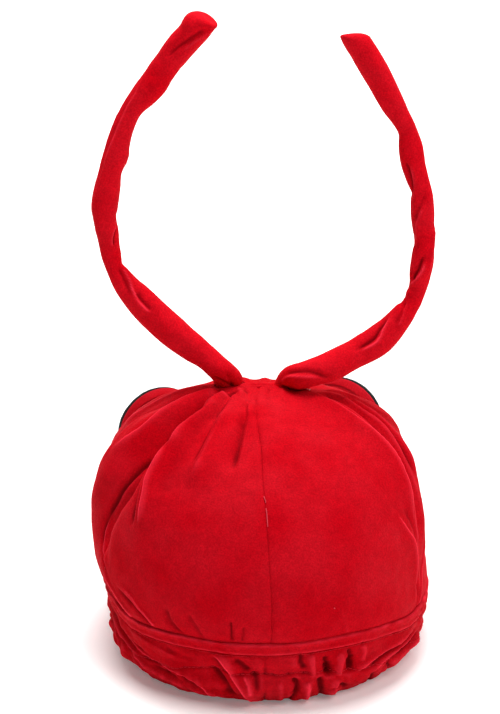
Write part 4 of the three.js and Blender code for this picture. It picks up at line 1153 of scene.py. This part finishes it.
def eye_dome(name, azimuth, along, aside, side, depth, facing, material, seed):
    """One half of an eye: rings from the sewn edge to the pole, on one side of the seam."""
    at = form_point(azimuth, along)
    centre = at + wall_direction(np.array(azimuth), np.array(along)) * EYE_LIFT + np.array([aside, 0, 0.4])
    yaw = -side * np.radians(EYE_TURN)
    sides, steps = 120 // fine, 44 // fine
    around = np.linspace(0, 2 * np.pi, sides, endpoint=False)
    rise = np.linspace(0, 0.5 * np.pi, steps + 1)[:-1][:, None]
    swell = np.cos(rise)
    pucker = 0.30 * np.sin(26 * around + 1.4 * np.sin(5 * around + seed)) * np.exp(-rise / 0.35)
    folds = np.zeros(pucker.shape)
    if facing < 0:
        for up, drift, high, width, phase in EYE_FOLDS:
            folds += high * np.exp(-(((rise - up - drift * np.sin(around + phase)) / width) ** 2))
        folds *= 0.6 + 0.4 * np.sin(2 * around + seed)
    radius = EYE_RADIUS * (1.0 if facing < 0 else 0.997) * swell * np.ones(sides)
    bulge = depth * np.sin(rise) * np.ones(sides) + pucker * np.sin(rise) * 3 + folds
    flat = np.stack([radius * np.cos(around), facing * (bulge + 0.5 * SEAM_GAP), radius * np.sin(around)], axis=-1)
    flat += (0.5 * waves(flat, 19, seed) * np.sin(rise))[..., None] * unit(flat)
    pole = np.array([[0, facing * (depth + 0.5 * SEAM_GAP), 0]])
    floor = np.array([[0, facing * 0.5 * SEAM_GAP, 0]])
    points = np.concatenate([flat.reshape(-1, 3), pole, floor])
    spun = points.copy()
    spun[:, 0] = points[:, 0] * np.cos(yaw) - points[:, 1] * np.sin(yaw)
    spun[:, 1] = points[:, 0] * np.sin(yaw) + points[:, 1] * np.cos(yaw)
    faces = grid_faces(steps - 1, sides, True).tolist()
    top, count = (steps - 1) * sides, steps * sides
    for k in range(sides):
        after = (k + 1) % sides
        faces.append((top + k, top + after, count))
        faces.append((after, k, count + 1))
    points = seat_on_crown(spun + centre)
    # masks for the red back's painted highlight along the sewn edge and on fold crests and painted shade in fold
    # hollows
    shares = {"crest": 0.4 * np.exp(-rise / 0.08) * np.ones(sides), "pocket": smoothstep(-folds, 0.1, 0.7),
              "edge": 0.6 * smoothstep(folds, 0.3, 0.9)}
    marks = {mark: np.concatenate([values.ravel(), [0, 0]]) for mark, values in shares.items()}
    piece = new_piece(name, points, faces, material, marks)
    close_ends(piece)
    print(name, "faces:", len(piece.data.polygons))
    return piece


EYES = {"left": (-146, 0.555, -3.0, -1), "right": (152, 0.53, 2.0, 1)}
eyes = []
# the eyes' backs take the darkest velvet copy, painted shade
for label, (at, along, aside, side) in EYES.items():
    back = eye_dome(f"eye_{label}_back_cloth", at, along, aside, side, EYE_BACK_DEPTH, -1, eye_velvet_painted_shade, 61)
    face = eye_dome(f"eye_{label}_face_cloth", at, along, aside, side, EYE_FACE_DEPTH, 1, black_cloth, 67)
    eyes += [(back, f"eye_back_{label}", "red_velvet"), (face, f"eye_face_{label}", "black_cloth")]

# %% [markdown]
# ## Stitches and loose thread
# The casing of the band is closed by one row of machine stitches, which shows as a light line of short
# dashes, and a second row holds the band under the welt. A stitch is the same small arch each time, laid
# along a path, so Geometry Nodes set it on points. Each point carries the way the row runs and the way out
# of the cloth. Two thread ends lie on the centre seam, and a white one shows at the right antenna's foot.


# %% Geometry Nodes: a row of stitches
def stitch_tree():
    tree = bpy.data.node_groups.new("stitch_row", "GeometryNodeTree")
    for label, kind in (("Points", "Geometry"), ("Length", "Float"), ("Arch", "Float"), ("Thread", "Float"),
                        ("Unevenness", "Float"), ("Seed", "Int"), ("Finish", "Material")):
        tree.interface.new_socket(label, in_out="INPUT", socket_type="NodeSocket" + kind)
    tree.interface.new_socket("Stitches", in_out="OUTPUT", socket_type="NodeSocketGeometry")
    enter = add_node(tree, "NodeGroupInput", (-1200, 0))
    leave = add_node(tree, "NodeGroupOutput", (1200, 0))
    join = tree.links.new

    ends = []
    for row, share in enumerate((-0.5, 0.5)):
        half = add_node(tree, "ShaderNodeMath", (-900, -200 * row), operation="MULTIPLY", put={1: share})
        join(enter.outputs["Length"], half.inputs[0])
        ends.append(add_node(tree, "ShaderNodeCombineXYZ", (-700, -200 * row)))
        join(half.outputs[0], ends[-1].inputs["Z"])
    arch = add_node(tree, "GeometryNodeCurveQuadraticBezier", (-400, 0), put={"Resolution": 5})
    middle = add_node(tree, "ShaderNodeCombineXYZ", (-700, -400))
    join(enter.outputs["Arch"], middle.inputs["X"])
    join(ends[0].outputs[0], arch.inputs["Start"])
    join(middle.outputs[0], arch.inputs["Middle"])
    join(ends[1].outputs[0], arch.inputs["End"])
    round_thread = add_node(tree, "GeometryNodeCurvePrimitiveCircle", (-400, -300), put={"Resolution": 6})
    join(enter.outputs["Thread"], round_thread.inputs["Radius"])
    stitch = add_node(tree, "GeometryNodeCurveToMesh", (-100, 0), put={"Fill Caps": True})
    join(arch.outputs[0], stitch.inputs["Curve"])
    join(round_thread.outputs[0], stitch.inputs["Profile Curve"])

    ways = []
    for row, label in enumerate(("way_along", "way_out")):
        ways.append(add_node(tree, "GeometryNodeInputNamedAttribute", (-400, 600 - 200 * row),
                             data_type="FLOAT_VECTOR", put={"Name": label}))
    turn = add_node(tree, "FunctionNodeAxesToRotation", (-100, 500), primary_axis="Z", secondary_axis="X")
    join(ways[0].outputs["Attribute"], turn.inputs["Primary Axis"])
    join(ways[1].outputs["Attribute"], turn.inputs["Secondary Axis"])
    lean = add_node(tree, "FunctionNodeRandomValue", (-100, 300), data_type="FLOAT_VECTOR")
    less = add_node(tree, "ShaderNodeMath", (-300, 250), operation="MULTIPLY", put={1: -1.0})
    join(enter.outputs["Unevenness"], less.inputs[0])
    join(less.outputs[0], lean.inputs["Min"])
    join(enter.outputs["Unevenness"], lean.inputs["Max"])
    join(enter.outputs["Seed"], lean.inputs["Seed"])
    tilt = add_node(tree, "FunctionNodeEulerToRotation", (100, 300))
    join(lean.outputs[0], tilt.inputs[0])
    turned = add_node(tree, "FunctionNodeRotateRotation", (300, 400), rotation_space="LOCAL")
    join(turn.outputs[0], turned.inputs["Rotation"])
    join(tilt.outputs[0], turned.inputs["Rotate By"])

    laid = add_node(tree, "GeometryNodeInstanceOnPoints", (500, 0))
    real = add_node(tree, "GeometryNodeRealizeInstances", (700, 0))
    finish = add_node(tree, "GeometryNodeSetMaterial", (900, 0))
    for source, output, node, entry in (
        (enter, "Points", laid, "Points"), (stitch, 0, laid, "Instance"), (turned, 0, laid, "Rotation"),
        (laid, 0, real, 0), (real, 0, finish, "Geometry"), (enter, "Finish", finish, "Material"),
        (finish, 0, leave, 0),
    ):
        join(source.outputs[output], node.inputs[entry])
    return tree


STITCH_TREE = stitch_tree()
print("stitch row tree:", len(STITCH_TREE.nodes), "nodes")


# %% Lay a row along a path
def sew_row(name, path, out, pitch, seed, material, **sizes):
    """Stitches along a path given in millimetres, with the way out of the cloth at each of its points."""
    step = np.linalg.norm(np.diff(path, axis=0), axis=1)
    run = np.concatenate([[0], np.cumsum(step)])
    at = np.arange(0.5 * pitch, run[-1], pitch)
    middle, after, outward = (
        np.stack([np.interp(at + more, run, values[:, k]) for k in range(3)], axis=1)
        for values, more in ((path, 0.0), (path, 0.3), (out, 0.0))
    )
    guide = bpy.data.meshes.new(name + "_path")
    guide.from_pydata(((middle + SHIFT) * MM).tolist(), [], [])
    for label, values in (("way_along", after - middle), ("way_out", outward)):
        field = guide.attributes.new(label, "FLOAT_VECTOR", "POINT")
        field.data.foreach_set("vector", unit(values).ravel().astype(np.float32))
    rail = bpy.data.objects.new(name + "_path", guide)
    bpy.context.collection.objects.link(rail)
    sewing = rail.modifiers.new("stitches", "NODES")
    sewing.node_group = STITCH_TREE
    inputs = {"Length": 0.0024, "Arch": 0.0006, "Thread": 0.0002, "Unevenness": 0.10, "Seed": seed, "Finish": material}
    inputs.update(sizes)
    for item in STITCH_TREE.interface.items_tree:
        if item.in_out == "INPUT" and item.name in inputs:
            sewing[item.identifier] = inputs[item.name]
    evaluated = rail.evaluated_get(bpy.context.evaluated_depsgraph_get())
    mesh = bpy.data.meshes.new_from_object(evaluated)
    bpy.data.objects.remove(rail)
    bpy.data.meshes.remove(guide)
    mesh.name = name
    piece = bpy.data.objects.new(name, mesh)
    bpy.context.collection.objects.link(piece)
    print(name, "has", len(at), "stitches and", len(mesh.polygons), "faces")
    return piece


around = np.linspace(-180, 180, 1801)
casing = read_table(STITCH_LINE, around)["along"]
rows_of_stitches = []
for name, along, lift, pitch, seed, sizes in (
    ("casing_stitches", casing, 0.05, 3.0, 71, {"Thread": 0.00018}),
    ("welt_stitches", np.full(len(around), BAND_TOP + 1.6 / cloth_length()), 0.05, 2.8, 72, {"Thread": 0.00016}),
):
    out = wall_direction(around, along)
    path = form_point(around, along) + out * (band_height(around, along) + lift)[:, None]
    rows_of_stitches.append(sew_row(name, path, out, pitch, seed, red_thread, **sizes))


# %% Loose thread ends and a speck of lint
def thread_end(name, places, radius, material):
    """A short thread through places of (azimuth, along, height over the form)."""
    azimuth, along, height = np.array(places, float).T
    spots = form_point(azimuth, along) + wall_direction(azimuth, along) * height[:, None]
    curve = bpy.data.curves.new(name + "_path", "CURVE")
    curve.dimensions, curve.bevel_depth, curve.bevel_resolution = "3D", radius * MM, 2
    curve.use_fill_caps = True
    spline = curve.splines.new("POLY")
    spline.points.add(len(spots) - 1)
    for point, spot in zip(spline.points, (spots + SHIFT) * MM):
        point.co = (*spot, 1.0)
    strand = bpy.data.objects.new(name + "_path", curve)
    bpy.context.collection.objects.link(strand)
    mesh = bpy.data.meshes.new_from_object(strand.evaluated_get(bpy.context.evaluated_depsgraph_get()))
    bpy.data.objects.remove(strand)
    bpy.data.curves.remove(curve)
    mesh.name = name
    mesh.materials.clear()
    mesh.materials.append(material)
    for face in mesh.polygons:
        face.use_smooth = True
    piece = bpy.data.objects.new(name, mesh)
    bpy.context.collection.objects.link(piece)
    return piece


loose_ends = [
    thread_end("seam_thread_upper", [(0.9, 0.398, 0.1), (1.1, 0.404, 0.6), (1.5, 0.411, 0.5), (1.5, 0.416, 0.1)],
               0.24, pale_thread),
    thread_end("seam_thread_lower", [(1.6, 0.430, 0.1), (1.8, 0.440, 0.4), (1.9, 0.455, 0.5), (2.0, 0.468, 0.5),
                                     (2.1, 0.476, 0.1)], 0.26, pale_thread),
    thread_end("white_thread_tip", [(86, 0.056, 0.4), (80, 0.068, 1.6), (75, 0.078, 1.8), (72, 0.082, 1.0)],
               0.50, white_thread),
    thread_end("lint_speck", [(21.8, 0.704, 0.3), (22.0, 0.7055, 0.5), (22.1, 0.707, 0.3)], 0.26, pale_thread),
]
print("loose ends:", [piece.name for piece in loose_ends])

# %% [markdown]
# ## Each piece on its body
# Every piece rides on the body "root" and stands for its CAD node, whose plain solid is hidden. Cloth
# panels, welt and band are sheets, cut flat before they were sewn and gathered; the antennae and the
# eyes are stuffed.

# %% Ride and replace
replaced = [(p, n, "red_velvet") for p, n in panels] + [
    (welt, "band_welt", "red_velvet"), (band, "gathered_band", "red_velvet"),
    (antenna_left, "antenna_left", "red_velvet"), (antenna_right, "antenna_right", "red_velvet"),
] + eyes
for piece, node, slot in replaced:
    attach(piece, "root")
    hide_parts(node)
for piece in rows_of_stitches + loose_ends:
    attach(piece, "root")

# %% [markdown]
# ## Floor, light and camera
# The photograph is lit by soft light from high on the camera's right, with a paler fill, against white.
# A broad pale floor and eight large soft lamps give that, with a lamp on the far floor and a dim world.
# The eight powers were fitted to the shading of this one photograph, so they suit its view best. The
# camera's place was found by fitting the form's outline: 20 degrees above the horizon, 1.4 m from the
# hat's middle.

# %% Floor
floor_mesh = bpy.data.meshes.new("floor")
half = 6.0
floor_mesh.from_pydata([(-half, -half, 0), (half, -half, 0), (half, half, 0), (-half, half, 0)], [], [(0, 1, 2, 3)])
floor = bpy.data.objects.new("floor", floor_mesh)
floor.location.z = -0.0005
bpy.context.collection.objects.link(floor)
floor_paint, tree, shader, place = new_material("floor_paint")
cloudy = noise(tree, place, 6, 2, (-600, 0))
pale = mix_colour(tree, cloudy, srgb(246, 245, 244), srgb(250, 249, 248), (-300, 0))
tree.links.new(pale, shader.inputs["Base Color"])
shader.inputs["Roughness"].default_value = 0.9
shader.inputs["Specular IOR Level"].default_value = 0.1
shader.inputs["Emission Color"].default_value = (1, 1, 1, 1)
shader.inputs["Emission Strength"].default_value = 0.16
floor_mesh.materials.append(floor_paint)


# %% Lights and world
def area_light(name, place, target, size, power, colour=(1, 1, 1)):
    light = bpy.data.lights.new(name, "AREA")
    light.shape, light.size, light.energy, light.color = "DISK", size, power, colour
    lamp = bpy.data.objects.new(name, light)
    lamp.location = place
    lamp.rotation_euler = (Vector(target) - Vector(place)).to_track_quat("-Z", "Y").to_euler()
    bpy.context.collection.objects.link(lamp)


HAT_MIDDLE = (0, 0, 0.12)
LAMPS = {  # name: place in metres, size in metres, power in watts
    "overhead": ((0.0, 0.0, 2.10), 1.0, 40),
    "front_right": ((0.83, -0.98, 1.65), 1.0, 13),
    "right": ((1.88, 0.0, 0.80), 1.0, 6),
    "left": ((-1.29, 0.0, 1.65), 1.0, 2),
    "back_right": ((0.64, 1.11, 1.65), 1.0, 6),
    "back_left": ((-0.64, 1.11, 1.65), 1.0, 11),
    "low_back_right": ((0.94, 1.63, 0.80), 1.0, 8),
    "low_back_left": ((-0.94, 1.63, 0.80), 1.0, 6),
}
for name, (place, size, power) in LAMPS.items():
    area_light(name, place, HAT_MIDDLE, size, power)
area_light("far_floor", (0.0, 1.9, 1.5), (0.0, 2.8, 0.0), 1.4, 26)
world = bpy.data.worlds.new("studio")
world.use_nodes = True
world.node_tree.nodes["Background"].inputs["Color"].default_value = (1, 1, 1, 1)
world.node_tree.nodes["Background"].inputs["Strength"].default_value = 0.05
bpy.context.scene.world = world
bpy.context.scene.view_settings.view_transform = "Standard"

# %% Camera
DISTANCE, MM_PER_PIXEL, LONG_SIDE = 1400.0, 0.6, 714
target = (np.array([-6.6, 0.0, 182.6]) + SHIFT) * MM
camera_data = bpy.data.cameras.new("camera")
camera_data.sensor_width = 36.0
camera_data.lens = DISTANCE / MM_PER_PIXEL * camera_data.sensor_width / LONG_SIDE
camera_data.clip_start, camera_data.clip_end = 0.1, 20
camera = bpy.data.objects.new("camera", camera_data)
camera.location = target - FORWARD * DISTANCE * MM
camera.rotation_euler = Vector(FORWARD).to_track_quat("-Z", "Y").to_euler()
bpy.context.collection.objects.link(camera)
bpy.context.scene.camera = camera
print("lens:", round(camera_data.lens, 1), "mm")
